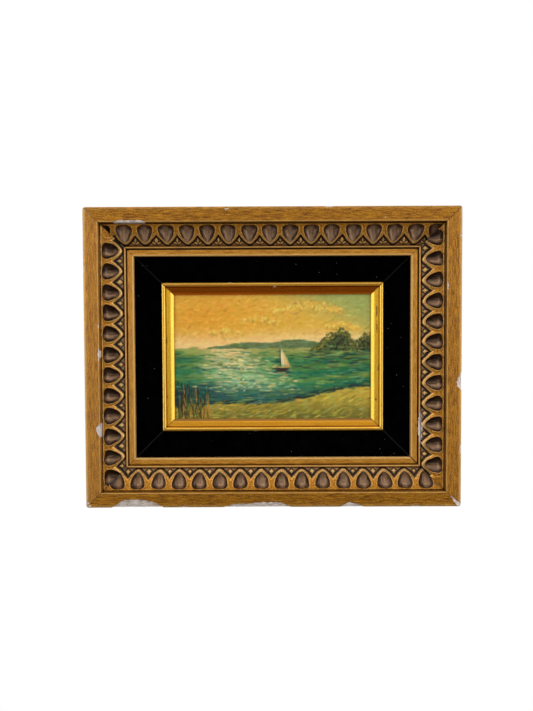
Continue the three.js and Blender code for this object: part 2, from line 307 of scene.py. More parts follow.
def round_the_corner(side, along, across, radius):
    """Pulls the square outer corner at each end in to a quarter circle, which keeps the mitre where it is."""
    in_along = radius - (sides[side]["length"] / 2 - np.abs(along))
    in_across = radius - across
    corner = (in_along > 0) & (in_across > 0)
    diagonal = np.maximum(np.hypot(in_along, in_across), 1e-6)
    pull = np.where(corner, 1 - np.maximum(in_along, in_across) / diagonal, 0)
    return along - np.sign(along) * pull * in_along, across + pull * in_across


def add_grid(name, columns, rows):
    """Adds a flat grid, and says which column and which row each of its vertices is in."""
    deselect_all()
    bpy.ops.mesh.primitive_grid_add(x_subdivisions=columns, y_subdivisions=rows, size=1)
    piece = bpy.context.object
    piece.name = name
    flat = np.empty(len(piece.data.vertices) * 3)
    piece.data.vertices.foreach_get("co", flat)
    flat = flat.reshape(-1, 3)
    column = np.rint((flat[:, 0] + 0.5) * columns).astype(int)
    row = np.rint((flat[:, 1] + 0.5) * rows).astype(int)
    return piece, column, row


def moulded_length(name, side, columns, outline, carve, corner_radius=0.0):
    """Makes one side's length, from the section's points [across, height] in mm, once round it.

    carve(side, along, across, height) returns the carved heights and, under each attribute's name, a number
    for each vertex.
    """
    outline = np.vstack([outline, outline[:1]])
    rows = len(outline) - 1
    across = np.tile(outline[:, 0], (columns + 1, 1))
    height = np.tile(outline[:, 1], (columns + 1, 1))
    shares = np.linspace(-1, 1, columns + 1)[:, None]
    along = shares * (sides[side]["length"] / 2 - across - mitre_gap)
    height, attributes = carve(side, along, across, height)
    steps = np.hypot(*np.diff(outline, axis=0).T)
    around = np.concatenate([[0], np.cumsum(steps)]) + 0 * along
    own_stretch = list(sides).index(side) * frame_width
    attributes["run"] = np.stack([along + own_stretch, around], axis=-1)
    along, across = round_the_corner(side, along, across, corner_radius)

    piece, column, row = add_grid(name, columns, rows)
    places = in_the_frame(side, along, across, height)
    piece.data.vertices.foreach_set("co", places[column, row].ravel())
    for label, numbers in attributes.items():
        add_values(piece, label, numbers[column, row])

    for end_column in (0, columns):
        edit(piece)
        select_vertices(piece, np.flatnonzero((column == end_column) & (row < rows)))
        bpy.ops.mesh.edge_face_add()
        bpy.ops.object.mode_set(mode="OBJECT")
    edit(piece)
    bpy.ops.mesh.select_all(action="SELECT")
    bpy.ops.mesh.remove_doubles(threshold=1e-6)
    bpy.ops.mesh.normals_make_consistent(inside=False)
    bpy.ops.object.mode_set(mode="OBJECT")
    return piece


# %% [markdown]
# Nothing made by hand repeats exactly. A smooth wandering number, the same on every run, gives the leaves and
# the losses their unevenness. It draws random numbers on a coarse lattice and blends between them. Two more
# small functions, a smooth step and a hump, are what the masks of wear and dirt are made of.

# %% A number that wanders smoothly, a step and a hump
def wander(x, y, spacing, seed):
    """Smooth noise from -1 to 1, with features about as large as spacing."""
    u, v = np.broadcast_arrays(np.asarray(x) / spacing, np.asarray(y) / spacing)
    u0, v0 = np.floor(u).astype(int), np.floor(v).astype(int)
    low = (u0.min(), v0.min())
    lattice = np.random.default_rng(seed).uniform(-1, 1, (u0.max() - low[0] + 2, v0.max() - low[1] + 2))
    i, j = u0 - low[0], v0 - low[1]
    s, t = [f * f * (3 - 2 * f) for f in (u - u0, v - v0)]
    near = lattice[i, j] * (1 - s) + lattice[i + 1, j] * s
    far = lattice[i, j + 1] * (1 - s) + lattice[i + 1, j + 1] * s
    return near * (1 - t) + far * t


def blend(value, low, high):
    """0 below low, 1 above high, and smooth between them."""
    share = np.clip((value - low) / (high - low), 0, 1)
    return share * share * (3 - 2 * share)


def hump(offset, width, power=2):
    """1 where the offset is 0, and falling to 0 on both sides of it. A higher power gives steeper sides."""
    return np.exp(-((offset / width) ** power))


def distance_to_mitre(side, along, across):
    return sides[side]["length"] / 2 - across - np.abs(along)


# %% [markdown]
# The frame's rail is a flat band, a deep quirk, a slope with a row of leaves, a fillet, a fine line and a
# narrow inner band. On the real one the leaves are pressed in composition and laid on, so they are all a
# little different: each is an egg-shaped hollow with a raised rim, pointed towards the picture. A fine dark
# groove runs beside the rims, and in each gap between two points sits a bead in a ring, or on the top rail
# a sprig of three lobes. The section below has closely spaced rows where there is carving and few where
# there is none.

# %% The rail's section, in mm from its outer edge and from its back
band_width = 10.2
band_fall = 0.25
arris = 1.0
quirk_floor = 26.6
slope_start = 11.0
slope_top = 29.2
slope_fall = 4.8 / 12.5
leaf_zone = (10.3, 24.9)
leaf_rows = 58
fillet_top = 23.3
line_at = 26.5
inner_band_start = 27.15
inner_band_top = 22.3
lip_underside = 19.3
rabbet_wall = rail_width - 6.2
ground_drop = 1.9
ground_rise = 0.5


def slope_height(across):
    return slope_top - slope_fall * (across - slope_start)


def rail_outline():
    face = rail_depth - band_fall
    ground = slope_height(leaf_zone[1]) - ground_drop + ground_rise - 1
    leaf_places = np.linspace(*leaf_zone, leaf_rows)
    parts = [
        straight((0, 0), (0, 0.4), 1),
        straight((0, 0.4), (0, 26), 4),
        straight((0, 26), (0, face - arris), 14),
        rounded((0, face - arris), (0, face), (arris, face), 4),
        straight((arris, face), (band_width - 0.4, rail_depth), 18),
        rounded((band_width - 0.4, rail_depth), (band_width, rail_depth), (band_width, face), 3),
        straight((band_width, face), (band_width + 0.05, quirk_floor + 0.5), 6),
        np.stack([leaf_places, slope_height(leaf_places)], axis=1),
        straight((25.0, ground), (25.05, fillet_top - 0.3), 2),
        rounded((25.05, fillet_top - 0.3), (25.6, fillet_top + 0.35), (26.2, fillet_top - 0.4), 5),
        straight((26.2, fillet_top - 0.4), (line_at, 21.3), 3),
        straight((line_at, 21.3), (inner_band_start, inner_band_top - 0.1), 3),
        straight((inner_band_start, inner_band_top - 0.1), (27.4, inner_band_top), 1),
        straight((27.4, inner_band_top), (30.9, inner_band_top), 8),
        rounded((30.9, inner_band_top), (rail_width, inner_band_top), (rail_width, 21.8), 3),
        straight((rail_width, 21.8), (rail_width, lip_underside), 1),
        straight((rail_width, lip_underside), (rabbet_wall, lip_underside), 2),
        straight((rabbet_wall, lip_underside), (rabbet_wall, 0), 1),
        straight((rabbet_wall, 0), (0, 0), 1),
    ]
    return np.vstack(parts)


print("rail section has", len(rail_outline()), "points")

# %% [markdown]
# A leaf is described by how far a spot lies from the leaf's middle, stretched so that 1 is the hollow's
# edge. The outer half of the egg is blunt and the inner half comes to a point. Random numbers for each leaf
# widen, lean and deepen it a little.

# %% One row of leaves
leaf_pitch = 14.13
leaf_offset = {"top": -1.8, "right": 3.7, "bottom": -5.7, "left": 2.5}
leaf_middle = 14.3
hollow_half_width = {"top": 5.4, "right": 5.4, "bottom": 5.1, "left": 5.6}
hollow_outer_half = 2.95
hollow_inner_half = 7.9
hollow_depth = 3.3
# the outline runs down from the tip at this slope, rounded by this radius
tip_at = {"top": 23.7, "right": 24.2, "bottom": 24.0, "left": 24.0}
outline_slope = 1.25
tip_radius = 3.2
bead_at = 22.4
# where on a hollow light is painted, in mm along from its middle: on the sides it is painted on the lower
# half, as painted light from above
hollow_light_at = {"top": -0.6, "right": 1.8, "bottom": -0.6, "left": -1.8}
# how light each side's hollows are painted all over
hollow_lightness = {"top": 0.5, "right": 0.38, "bottom": 0.48, "left": 0.36}
# how strongly the leaves' heel and rims are painted pale on each side: wear, and painted highlight where the
# side lights fall
heel_wear_and_highlight_by_side = {"top": 0.15, "right": 0.5, "bottom": 0.15, "left": 0.8}
rim_wear_and_highlight_by_side = {"top": 0.6, "right": 0.75, "bottom": 0.45, "left": 0.9}


def egg_share(x, y, half_width, outer_half, inner_half, blunt, pointed):
    """How far a spot lies from the egg's middle, as a share of the way to its edge and in mm beyond it."""
    power = np.where(y < 0, blunt, pointed)
    reach = np.where(y < 0, outer_half, inner_half)
    share = ((np.abs(x) / half_width) ** power + (np.abs(y) / reach) ** power) ** (1 / power)
    beyond = np.hypot(x, y) * (1 - 1 / np.maximum(share, 1e-3))
    return share, beyond


def leaf_relief(side, along, across):
    """Height above the slope, and masks: the hollow with painted light, painted crevice shade, rubbed and
    highlit spots, the leaf.
    """
    seed = list(sides).index(side) + 1
    counted = (along - leaf_offset[side]) / leaf_pitch
    number = np.rint(counted).astype(int)
    chance = np.random.default_rng(seed).uniform(-1, 1, (4, 64))[:, number + 32]
    y = across - leaf_middle
    x = (counted - number) * leaf_pitch + 0.35 * chance[0] + 0.06 * chance[1] * y
    x = x + 0.25 * wander(along, across, 3.0, seed + 10)
    y = y + 0.25 * wander(along, across, 3.0, seed + 20)

    # a hollow that the mitre would cut away is left out, apart from the one at the top left corner
    past_mitre = np.abs(number * leaf_pitch + leaf_offset[side]) + leaf_middle - sides[side]["length"] / 2
    whole = past_mitre < (2.5 if side == "top" else 0)
    half_width = hollow_half_width[side] * (1 + 0.04 * chance[2])
    share, beyond = egg_share(x, y, half_width, hollow_outer_half, hollow_inner_half, 2.6, 1.65)
    inside = whole * (1 - blend(share, 0.95, 1.03))
    bowl = whole * hollow_depth * (1 + 0.12 * chance[3]) * np.clip(1 - share**2.4, 0, 1)
    rib_height = 0.30 + 0.20 * chance[0]
    rib = rib_height * hump(x, 0.7) * blend(y, -2.5, 1.5) * (1 - blend(share, 0.6, 0.95))
    lip = 0.30 * hump(beyond - 0.32, 0.32)

    drop = np.sqrt((outline_slope * x) ** 2 + tip_radius**2) - tip_radius
    outside = (y + leaf_middle - tip_at[side] + drop) / math.hypot(1, outline_slope)
    raised = (1 - blend(outside, -0.22, 0.12)) * blend(across, 10.4, 10.8)
    rounding = 0.60 * blend(outside, -1.5, -0.05)
    body = lip - bowl + rib - rounding - 0.1

    gap = leaf_pitch / 2 - np.abs(x)
    to_quirk = 1 - blend(across, 10.5, 11.3)
    strip = blend(across, 23.4, 24.9)
    floor = -ground_drop + ground_rise - strip - (slope_height(across) - quirk_floor - ground_drop) * to_quirk
    if side != "top":
        bead_share = gap / 1.7 + np.abs(across - bead_at) / (1.6 + 0.6 * (across < bead_at))
        ring = hump(bead_share - 1.25, 0.26, 4) * (outside > 0.3)
    else:
        middle_lobe = np.hypot(gap / 0.6, (across - 21.0) / 1.8)
        along_lobe = (gap - 1.5) * 0.86 - (across - 22.7) * 0.51
        across_lobe = (gap - 1.5) * 0.51 + (across - 22.7) * 0.86
        bead_share = np.minimum(middle_lobe, np.hypot(along_lobe / 1.35, across_lobe / 0.55))
        ring = 0.8 * hump(bead_share - 1.6, 0.5, 4) * (outside > 0.3)
    bead = np.clip(1 - bead_share, 0, 1) * (outside > 0.7)
    beside = hump(outside - 0.48, 0.50, 4)
    foot = hump(across - 24.95, 0.35)
    relief = floor - 0.5 * ring - 0.9 * beside + 1.5 * np.minimum(bead, 0.75)
    relief = relief + (body - relief) * raised
    relief = relief + 0.04 * wander(along, across, 1.2, seed + 30)
    relief = relief + 0.06 * wander(along, across, 4.0, seed + 40)

    brim = hump(beyond + 0.3, 0.38) * (1 - 0.7 * blend(y, 2.0, 6.0))
    # painted shade: the grooves by the beads and the rims, the foot of the leaves, the quirk and the brim of
    # each hollow
    dark = np.maximum(np.maximum(0.85 * ring, beside), np.maximum(0.7 * foot, 0.85 * to_quirk))
    shade_and_joints = (1 - raised) * dark + 0.55 * brim * raised * whole
    # painted highlights with wear: a bright line round the inner end of each hollow, on the rims, on the heel
    # and on the beads
    lip_highlight = 0.45 * hump(beyond - 0.30, 0.24) * blend(y, -3.0, -0.5)
    rim_wear_and_highlight = rim_wear_and_highlight_by_side[side] * hump(outside + 0.42, 0.32)
    heel_wear_and_highlight = heel_wear_and_highlight_by_side[side] * hump(across - 11.0, 0.3)
    worn_and_highlit_gold = np.maximum(np.maximum(lip_highlight, rim_wear_and_highlight), heel_wear_and_highlight)
    rubbed_and_highlit = raised * worn_and_highlit_gold + 0.65 * (1 - raised) * blend(bead, 0.0, 0.4)
    # painted light on part of each hollow, on the left and right rails its lower half
    painted_lighting = hump(x - hollow_light_at[side], 1.8)
    wiped = inside * (hollow_lightness[side] + 0.2 * np.clip(1 - share**1.6, 0, 1) + 0.4 * painted_lighting)
    return relief, wiped * raised, shade_and_joints, rubbed_and_highlit, raised


# %% [markdown]
# The frame is knocked and worn. Along its edges the gold and the white ground under it have broken away,
# and what shows is pinkish white with streaks of wood. The larger losses are cut into the surface as
# sloping patches, and the smaller ones are shallow flakes. Each is listed where it lies, in mm along its
# side, clockwise from the middle.

# %% Losses and flakes
losses = {
    "bottom": [
        {"from": 74.6, "to": 109.5, "reach": 5.7, "drop": 2.6, "outline": [0, 0.7, 0.95, 1, 0.85, 0]},
        {"from": -12.3, "to": 33.7, "reach": 3.5, "drop": 1.9, "outline": [0, 0.95, 1, 0.95, 0.75, 0.7, 0]},
        {"from": -61.1, "to": -45.5, "reach": 3.0, "drop": 1.6, "outline": [0, 0.6, 1, 0.9, 0]},
    ],
    "right": [{"from": 10.2, "to": 22.3, "reach": 3.3, "drop": 1.6, "outline": [0, 0.6, 1, 0.9, 0]}],
    "left": [
        {
            "from": -53.5,
            "to": -43.8,
            "reach": 2.9,
            "drop": 1.2,
            "outline": [0, 0.6, 1, 0.7, 0],
            "inner": True,
        },
    ],
    "top": [
        {
            "from": -106.6,
            "to": -85.4,
            "reach": 1.35,
            "drop": 0.8,
            "outline": [0, 0.9, 1, 0.9, 1, 1, 0.9, 0.9, 0],
            "inner": True,
        },
    ],
}
flake_depth = 0.22
# along, across, half length and half width, in mm
flakes = {
    "top": [
        (-30.8, 1.5, 1.8, 0.5),
        (75.5, 7.7, 0.5, 0.4),
        (99.8, 7.6, 0.4, 0.35),
        (122.0, 10.0, 1.4, 0.9),
        (38.0, 0.6, 2.4, 0.4),
    ],
    "right": [
        (-81.5, 1.0, 0.9, 0.6),
        (49.2, 25.0, 12.3, 1.5),
        (-48.0, 9.6, 3.4, 0.35),
        (62.0, 0.5, 3.0, 0.4),
    ],
    "bottom": [
        (124.6, 1.4, 0.9, 0.8),
        (-96.0, 0.5, 3.0, 0.35),
        (60.0, 0.5, 2.0, 0.3),
    ],
    "left": [
        (3.0, 9.8, 5.0, 0.5),
        (-98.0, 1.3, 1.0, 0.8),
        (60.0, 0.5, 2.2, 0.3),
        (22.0, 9.8, 1.8, 0.3),
    ],
}
# scuffs along a mitre: which end of the side, across from and to, and how wide
mitre_scuffs = {
    "right": [(1, 0.2, 7.0, 1.3)],
    "bottom": [(-1, 0.3, 5.5, 1.7)],
    "top": [(-1, 1.0, 6.0, 0.25)],
    "left": [(1, 0.8, 3.5, 0.3)],
}


def worn_spot(along, across, half_length, half_width):
    """1 inside a small ragged oval and 0 outside, for distances in mm from its middle."""
    share = (along / half_length) ** 2 + (across / half_width) ** 2
    return 1 - blend(share + 0.5 * wander(along, across, 0.9, 80), 0.7, 1.1)


def lose(side, along, across, height):
    """Lowers the face where it has broken away, and says how far inside a loss each spot is."""
    lost = np.zeros_like(height)
    on_front = (height > 26.1) & (across < band_width + 0.1)
    for loss in losses[side]:
        places = np.linspace(loss["from"], loss["to"], len(loss["outline"]))
        reach = loss["reach"] * np.interp(along, places, loss["outline"])
        reach = reach + np.minimum(reach, 0.45) * wander(along, across, 1.4, 77)
        inward = band_width - across if loss.get("inner") else across
        face = rail_depth - (0 if loss.get("inner") else band_fall)
        floor = face - loss["drop"] * (1 - inward / loss["reach"])
        floor = floor + 0.10 * wander(along, across, 1.0, 78) + 0.12 * wander(along, across, 4.0, 79)
        down_side = np.maximum(face - loss["drop"] - height, 0) * 1.3 * (across < 0.5)
        down_side = down_side + (down_side > 0) * wander(along, height, 1.1, 82)
        inward = inward if loss.get("inner") else inward + down_side
        within = ((reach - inward) > 0) & (reach > 0.05) & on_front
        deep = within & (height > floor)
        height = np.where(deep, floor, height)
        lost = np.maximum(lost, np.where(on_front & (reach > 0.05), blend(reach - inward, -0.25, 0.25), 0))
    for centre, place, half_length, half_width in flakes[side]:
        flake = worn_spot(along - centre, across - place, half_length, half_width)
        flake = flake * (height > inner_band_top - 1.5)
        height = height - flake_depth * flake
        lost = np.maximum(lost, flake)
    for end, start, stop, width in mitre_scuffs[side]:
        to_mitre = sides[side]["length"] / 2 - across - end * along
        reach = width * (1.3 - (across - start) / (stop - start)) + 0.3 * wander(along, across, 1.0, 81)
        scuff = blend(reach - to_mitre, -0.1, 0.15) * (across > start) * (across < stop) * on_front
        height = height - 0.1 * scuff
        lost = np.maximum(lost, scuff)
    return height, lost


# %% Carve a rail and say what each spot of it is
# painted light and shade for each side: how much paler the gold and greyer the leaves' ground are painted
# where the side lights fall, and how dark the fine line and the quirk's wall are painted as shade
side_light_paleness = {"top": 0.0, "right": 0.35, "bottom": 0.0, "left": 1.0}
side_light_greyness = {"top": 0.15, "right": 0.9, "bottom": 0.6, "left": 1.0}
fine_line_shade = {"top": 0.95, "right": 0.85, "bottom": 0.4, "left": 0.8}
quirk_wall_shade = {"top": 0.4, "right": 0.55, "bottom": 0.4, "left": 0.2}


def carve_rail(side, along, across, height):
    seed = list(sides).index(side) + 50
    rows = np.arange(height.shape[1])
    first_leaf_row = np.flatnonzero(rail_outline()[:, 0] >= leaf_zone[0])[0]
    on_leaves = (rows >= first_leaf_row) & (rows < first_leaf_row + leaf_rows)
    relief, hollow, shade_and_joints, rubbed_and_highlit, leaf = leaf_relief(side, along, across)
    front = height > lip_underside + 0.5
    uneven = 0.05 * wander(along, across, 9.0, seed) + 0.025 * wander(along, across, 2.0, seed + 1)
    height = np.where(on_leaves, height + relief, height + uneven * front)
    height, lost = lose(side, along, across, height)

    near_face = height > rail_depth - 1
    # painted shade: the fine line is painted dark, more on some sides than on others
    groove = fine_line_shade[side] * hump(across - line_at - 0.2, 0.55, 4) * front
    in_quirk = (across >= band_width - 0.02) & (across < leaf_zone[0])
    # painted shade: the quirk's wall is painted dark
    wall = in_quirk & (height > quirk_floor - 1) & (height < rail_depth - 0.8)
    band_edge = hump(across - band_width + 0.35, 0.3) * near_face
    fillet = hump(across - 25.6, 0.4) * front
    sight_edge = hump(across - rail_width + 0.5, 0.5) * (height > inner_band_top - 0.6)
    outer_edge = (0.1 + 0.3 * side_light_greyness[side]) * hump(across - 0.9, 0.9) * near_face
    # pale edges: wear on the arrises, and painted highlight on the outer edge, strongest on the greyest sides
    edges = 0.5 * band_edge + 0.6 * fillet + 0.8 * sight_edge + outer_edge
    to_mitre = distance_to_mitre(side, along, across)
    joint = 0.75 * hump(to_mitre, 0.25) * front
    crack = (side in ("right", "bottom")) * hump(to_mitre, 0.6) * (across > inner_band_start)
    joint = np.maximum(joint, crack * (along > 0 if side == "right" else along < 0))
    grime = 0.45 * hump(to_mitre, 3.0) * blend(wander(along, across, 1.6, seed + 2), -0.4, 0.6)
    joint = np.maximum(joint, grime * on_leaves)
    attributes = {
        "hollow": np.where(on_leaves, hollow, 0),
        "leaf": np.where(on_leaves, leaf, 0),
        "ground": np.where(on_leaves, 1 - leaf, 0),
        "tip": np.where(on_leaves, leaf * blend(across, 17.5, 21.5), 0),
        # painted shade in the crevices, the fine line and the quirk's wall, with the real dark joints, cracks
        # and grime at the mitres
        "shade_and_joints": np.clip(np.where(on_leaves, shade_and_joints, groove + quirk_wall_shade[side] * wall) + joint, 0, 1),
        "rubbed_and_highlit": np.clip(np.where(on_leaves, rubbed_and_highlit, edges), 0, 1),
        # painted light: the gold is painted paler on the left and right rails, and the leaves' ground greyer
        # on all but the top
        "side_light_pale": np.full_like(height, side_light_paleness[side]),
        "grey": np.full_like(height, side_light_greyness[side]),
        "lost": lost,
        "inner_band": blend(across, 26.5, 27.1) * (height > inner_band_top - 1),
        "back": ((height < 0.01) | ((across > rabbet_wall - 0.01) & (height < lip_underside + 0.05))) * 1.0,
    }
    return height, attributes


# %% [markdown]
# The finish is bronze gilding, brushed on over a brown ground and rubbed back. It is brightest on the high
# spots, where it is rubbed and where highlights are painted, streaked along the flat bands where the brush
# ran, and brown-grey in the hollows, where a glaze was wiped off and settled. Light is painted into part of
# each hollow, and shade is painted dark into the crevices and grooves. One material reads the masks that the
# carving left on each spot and mixes these together. Patterns that follow the length read the run attribute,
# which counts mm along the rail and round its section. A few numbers for each rail paint it paler, greyer or
# darker by how the light falls on that side: painted light and painted shade.

# %% The gilded wood
def make_gilding():
    finish = Finish("gilded_wood")
    run = finish.vector_attribute("run")
    streaks = finish.noise(run, 1.0, 4.0, 0.65, stretch=(0.07, 0.9, 1))
    bristles = finish.noise(run, 1.0, 3.0, 0.6, stretch=(0.15, 2.2, 1))
    clouds = finish.noise(run, 1.0, 3.0, stretch=(0.07, 0.14, 1))
    flecks = finish.noise(run, 0.9, 3.0, 0.65)
    grit = finish.noise(run, 1.9, 2.0, 0.65)
    wiped = finish.noise(run, 1.0, 2.0, stretch=(0.95, 0.22, 1))
    grain = finish.noise(run, 1.0, 4.0, 0.6, stretch=(0.02, 0.9, 1))

    tone = streaks * 0.30 + bristles * 0.60 + clouds * 0.10 + flecks * 0.25 + grit * 0.45 - 0.35
    gold = finish.mix(tone.step(0.38, 0.62), srgb(107, 57, 2), srgb(202, 138, 30))
    inner_gold = finish.mix(tone.step(0.38, 0.62), srgb(164, 100, 14), srgb(226, 162, 58))
    leaf_gold = finish.mix(flecks.step(0.35, 0.65), srgb(142, 84, 8), srgb(206, 140, 30))
    speckle = (flecks * 0.5 + grit * 0.5).step(0.38, 0.62)
    sandy = finish.mix(speckle, srgb(88, 60, 34), srgb(172, 136, 98))
    brown = finish.mix(speckle, srgb(84, 44, 12), srgb(160, 108, 44))
    # the leaves' ground is painted greyer on the sides that take the most light: painted light
    sandy = finish.mix(finish.attribute("grey"), brown, sandy)
    gold = finish.mix(finish.attribute("inner_band"), gold, inner_gold)
    # painted light: paler gold on the left and right rails
    gold = finish.mix(finish.attribute("side_light_pale") * 0.15, gold, srgb(240, 176, 104))
    tip_gold = finish.mix(flecks.step(0.35, 0.65), srgb(98, 62, 30), srgb(162, 116, 66))
    leaf_gold = finish.mix(finish.attribute("tip") * 0.8, leaf_gold, tip_gold)
    gold = finish.mix(finish.attribute("leaf"), gold, leaf_gold)
    gold = finish.mix(finish.attribute("ground"), gold, sandy)
    # rubbed high spots and painted highlights, both laid on in a pale gold
    rubbed_and_highlit = finish.attribute("rubbed_and_highlit") * (0.35 + flecks * 0.6 + grit * 0.6)
    gold = finish.mix(rubbed_and_highlit.clamped(), gold, srgb(250, 206, 126))

    hollow = finish.attribute("hollow")
    # the glaze is painted lighter where it was wiped off and where light is painted into the hollow
    wiped_off_and_lit = (hollow + (wiped - 0.5) * 0.5).step(0.42, 1.0)
    glaze = finish.mix(wiped_off_and_lit, srgb(50, 28, 13), srgb(150, 116, 86))
    hollow = hollow.step(0.15, 0.40)
    colour = finish.mix(hollow, gold, glaze)
    shade_and_joints = finish.attribute("shade_and_joints")
    # the crevices are painted nearly black as painted shade, and the joints and grime darken too
    colour = finish.mix((shade_and_joints * (0.90 + flecks * 0.4)).clamped(), colour, srgb(26, 8, 3))

    ragged = finish.attribute("lost") + (flecks - 0.5) * 0.5
    lost = ragged.step(0.45, 0.56)
    bole_edge = ragged.step(0.2, 0.42) * (1 - lost)
    wood_streaks = finish.noise(run, 1.0, 4.0, 0.65, stretch=(0.22, 1.4, 1))
    ground = finish.mix(wood_streaks.step(0.42, 0.66), srgb(232, 218, 208), srgb(158, 138, 124))
    colour = finish.mix(bole_edge * 0.7, colour, srgb(92, 50, 22))
    colour = finish.mix(lost, colour, ground)

    back = finish.attribute("back")
    bare_wood = finish.mix(grain.step(0.35, 0.68), srgb(196, 160, 112), srgb(158, 118, 74))
    colour = finish.mix(back, colour, bare_wood)

    covered = (1 - lost) * (1 - back)
    metallic = covered * (1 - shade_and_joints * 0.9) * (0.55 - finish.attribute("ground") * 0.35)
    roughness = 0.36 + bristles * 0.16 - hollow * 0.06 + (1 - covered) * 0.35
    surface = bristles * 0.5 + streaks * 0.3 + flecks * 0.5 + grit * 0.3
    finish.set(coat_weight=(1 - shade_and_joints) * 0.10, coat_roughness=0.25, specular_ior_level=0.35)
    return finish.set(
        base_color=colour,
        metallic=metallic.clamped(),
        roughness=roughness.clamped(),
        normal=finish.bump(surface, 0.00012, 0.8),
    )


gilding = make_gilding()
print("material", gilding.name)

# %% Make the four rails
# closeness of the columns along a rail, in mm
carving_step = {"top": 0.40, "right": 0.37, "bottom": 0.40, "left": 0.37}
for side in sides:
    columns = round(sides[side]["length"] / carving_step[side])
    rail = moulded_length(f"gilded_rail_{side}", side, columns, rail_outline(), carve_rail, corner_radius=1.8)
    finish_piece(rail, gilding, "gilded_wood", f"rail_{side}", smooth_angle=50)
    print(rail.name, "has", len(rail.data.polygons), "faces")

# %% [markdown]
# The liner is a flat wooden strip, covered in black velvet, that slopes down towards the picture. Velvet
# drinks the light, so the finish is almost black, very rough and with hardly any shine, and shows only a
# short sheen at a grazing angle and a little dust. At the mitred corners the pile parts into a thin grey
# line.

# %% The velvet liner
def section_box(node):
    """A top length's outer and inner edge, counted from the frame's, then its back and front, in mm."""
    low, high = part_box(node)
    places = (top_edge - high[2], top_edge - low[2], wall_y - high[1], wall_y - low[1])
    return [place / MM for place in places]


def velvet_outline():
    outer, inner, back, front = section_box("velvet_top")
    inner_front = 14.2
    edge_under = inner_front - 2.2
    rabbet = inner - 5.0
    parts = [
        straight((outer, back), (outer, front), 3),
        straight((outer, front), (rail_width - 1.0, front), 3),
        rounded((rail_width - 1.0, front), (rail_width, front), (rail_width + 1.2, front - 0.35), 4),
        straight((rail_width + 1.2, front - 0.35), (inner - 1.3, inner_front + 0.30), 22),
        rounded((inner - 1.3, inner_front + 0.30), (inner, inner_front), (inner, inner_front - 1.0), 5),
        straight((inner, inner_front - 1.0), (inner, edge_under), 2),
        straight((inner, edge_under), (rabbet, edge_under), 2),
        straight((rabbet, edge_under), (rabbet, back), 2),
        straight((rabbet, back), (outer, back), 4),
    ]
    return np.vstack(parts)


def carve_velvet(side, along, across, height):
    seed = list(sides).index(side) + 90
    facing = (height > 12.5) & (across > rail_width - 1)
    pile = 0.05 * wander(along, across, 1.3, seed) + 0.07 * wander(along, across, 7.0, seed + 1)
    parting = hump(distance_to_mitre(side, along, across), 0.45)
    height = height + np.where(facing, pile - 0.25 * parting, 0)
    return height, {"parting": parting, "facing": facing * 1.0}


def make_velvet():
    finish = Finish("black_velvet")
    place = finish.place()
    pile = finish.noise(place, 4.0, 2.0)
    brushed = finish.noise(place, 0.18, 3.0)
    dust = finish.node("ShaderNodeTexVoronoi", {}, {"Vector": place, "Scale": 0.16})
    dust_here = (1 - dust.step(0.035, 0.06)) * 0.5
    nap = finish.mix(brushed.step(0.35, 0.7), srgb(1, 1, 1), srgb(3, 3, 3))
    colour = finish.mix(finish.attribute("parting") * 0.5, nap, srgb(52, 52, 52))
    colour = finish.mix(dust_here, colour, srgb(120, 122, 126))
    backing = finish.noise(finish.vector_attribute("run"), 1.0, 4.0, stretch=(0.02, 0.9, 1))
    bare_wood = finish.mix(backing, srgb(180, 142, 96), srgb(140, 104, 66))
    colour = finish.mix(finish.attribute("facing"), bare_wood, colour)
    material = finish.set(base_color=colour, roughness=1.0, normal=finish.bump(pile, 0.0002, 0.7))
    finish.set(specular_ior_level=0.0, sheen_weight=0.003, sheen_roughness=0.4)
    return material


velvet = make_velvet()
for side in sides:
    columns = round(sides[side]["length"] / 1.0)
    liner = moulded_length(f"velvet_liner_{side}", side, columns, velvet_outline(), carve_velvet)
    finish_piece(liner, velvet, "velvet", f"velvet_{side}")
    print(liner.name, "has", len(liner.data.polygons), "faces")

# %% [markdown]
# The slip is a narrow strip of bright gilding: an outer bead, a fine quirk and a slope that rolls over at
# the painting's edge. It is burnished, so it mirrors the room, and its sides look bright or dark by what
# they face. On top of that, shade is painted in: the top and bottom lengths are painted redder and darker,
# and the roll of the bottom length darker and duller. The bead is painted paler, partly as burnish and
# partly as painted highlight, and the roll on the left and right lengths is painted paler as painted
# highlight.

# %% The gilt slip
slip_sight = section_box("slip_top")[1]
slip_bead = section_box("velvet_top")[1] + 0.3
slip_quirk = slip_bead + 2.8
slip_roll = slip_sight - 2.6


def slip_outline():
    outer, inner, back, front = section_box("slip_top")
    bead_middle = (slip_bead + slip_quirk) / 2
    bead_base = 13.1
    sight_top = 10.35
    under_lip = 9.3
    flange_top = 11.7
    panel_wall = inner - 6.65
    parts = [
        straight((outer, back), (outer, flange_top), 2),
        straight((outer, flange_top), (slip_bead, flange_top), 2),
        straight((slip_bead, flange_top), (slip_bead, bead_base + 0.2), 3),
        rounded((slip_bead, bead_base + 0.2), (slip_bead, front), (bead_middle, front), 6),
        rounded((bead_middle, front), (slip_quirk, front), (slip_quirk, bead_base + 0.1), 6),
        straight((slip_quirk, bead_base + 0.1), (slip_quirk + 0.15, 12.3), 2),
        straight((slip_quirk + 0.15, 12.3), (slip_quirk + 0.4, 12.75), 1),
        straight((slip_quirk + 0.4, 12.75), (slip_roll, 12.0), 6),
        rounded((slip_roll, 12.0), (slip_roll + 1.3, 11.6), (inner - 0.05, sight_top), 12),
        straight((inner - 0.05, sight_top), (inner, sight_top - 0.1), 1),
        straight((inner, sight_top - 0.1), (inner, under_lip), 2),
        straight((inner, under_lip), (panel_wall, under_lip), 2),
        straight((panel_wall, under_lip), (panel_wall, back), 2),
        straight((panel_wall, back), (outer, back), 2),
    ]
    return np.vstack(parts)


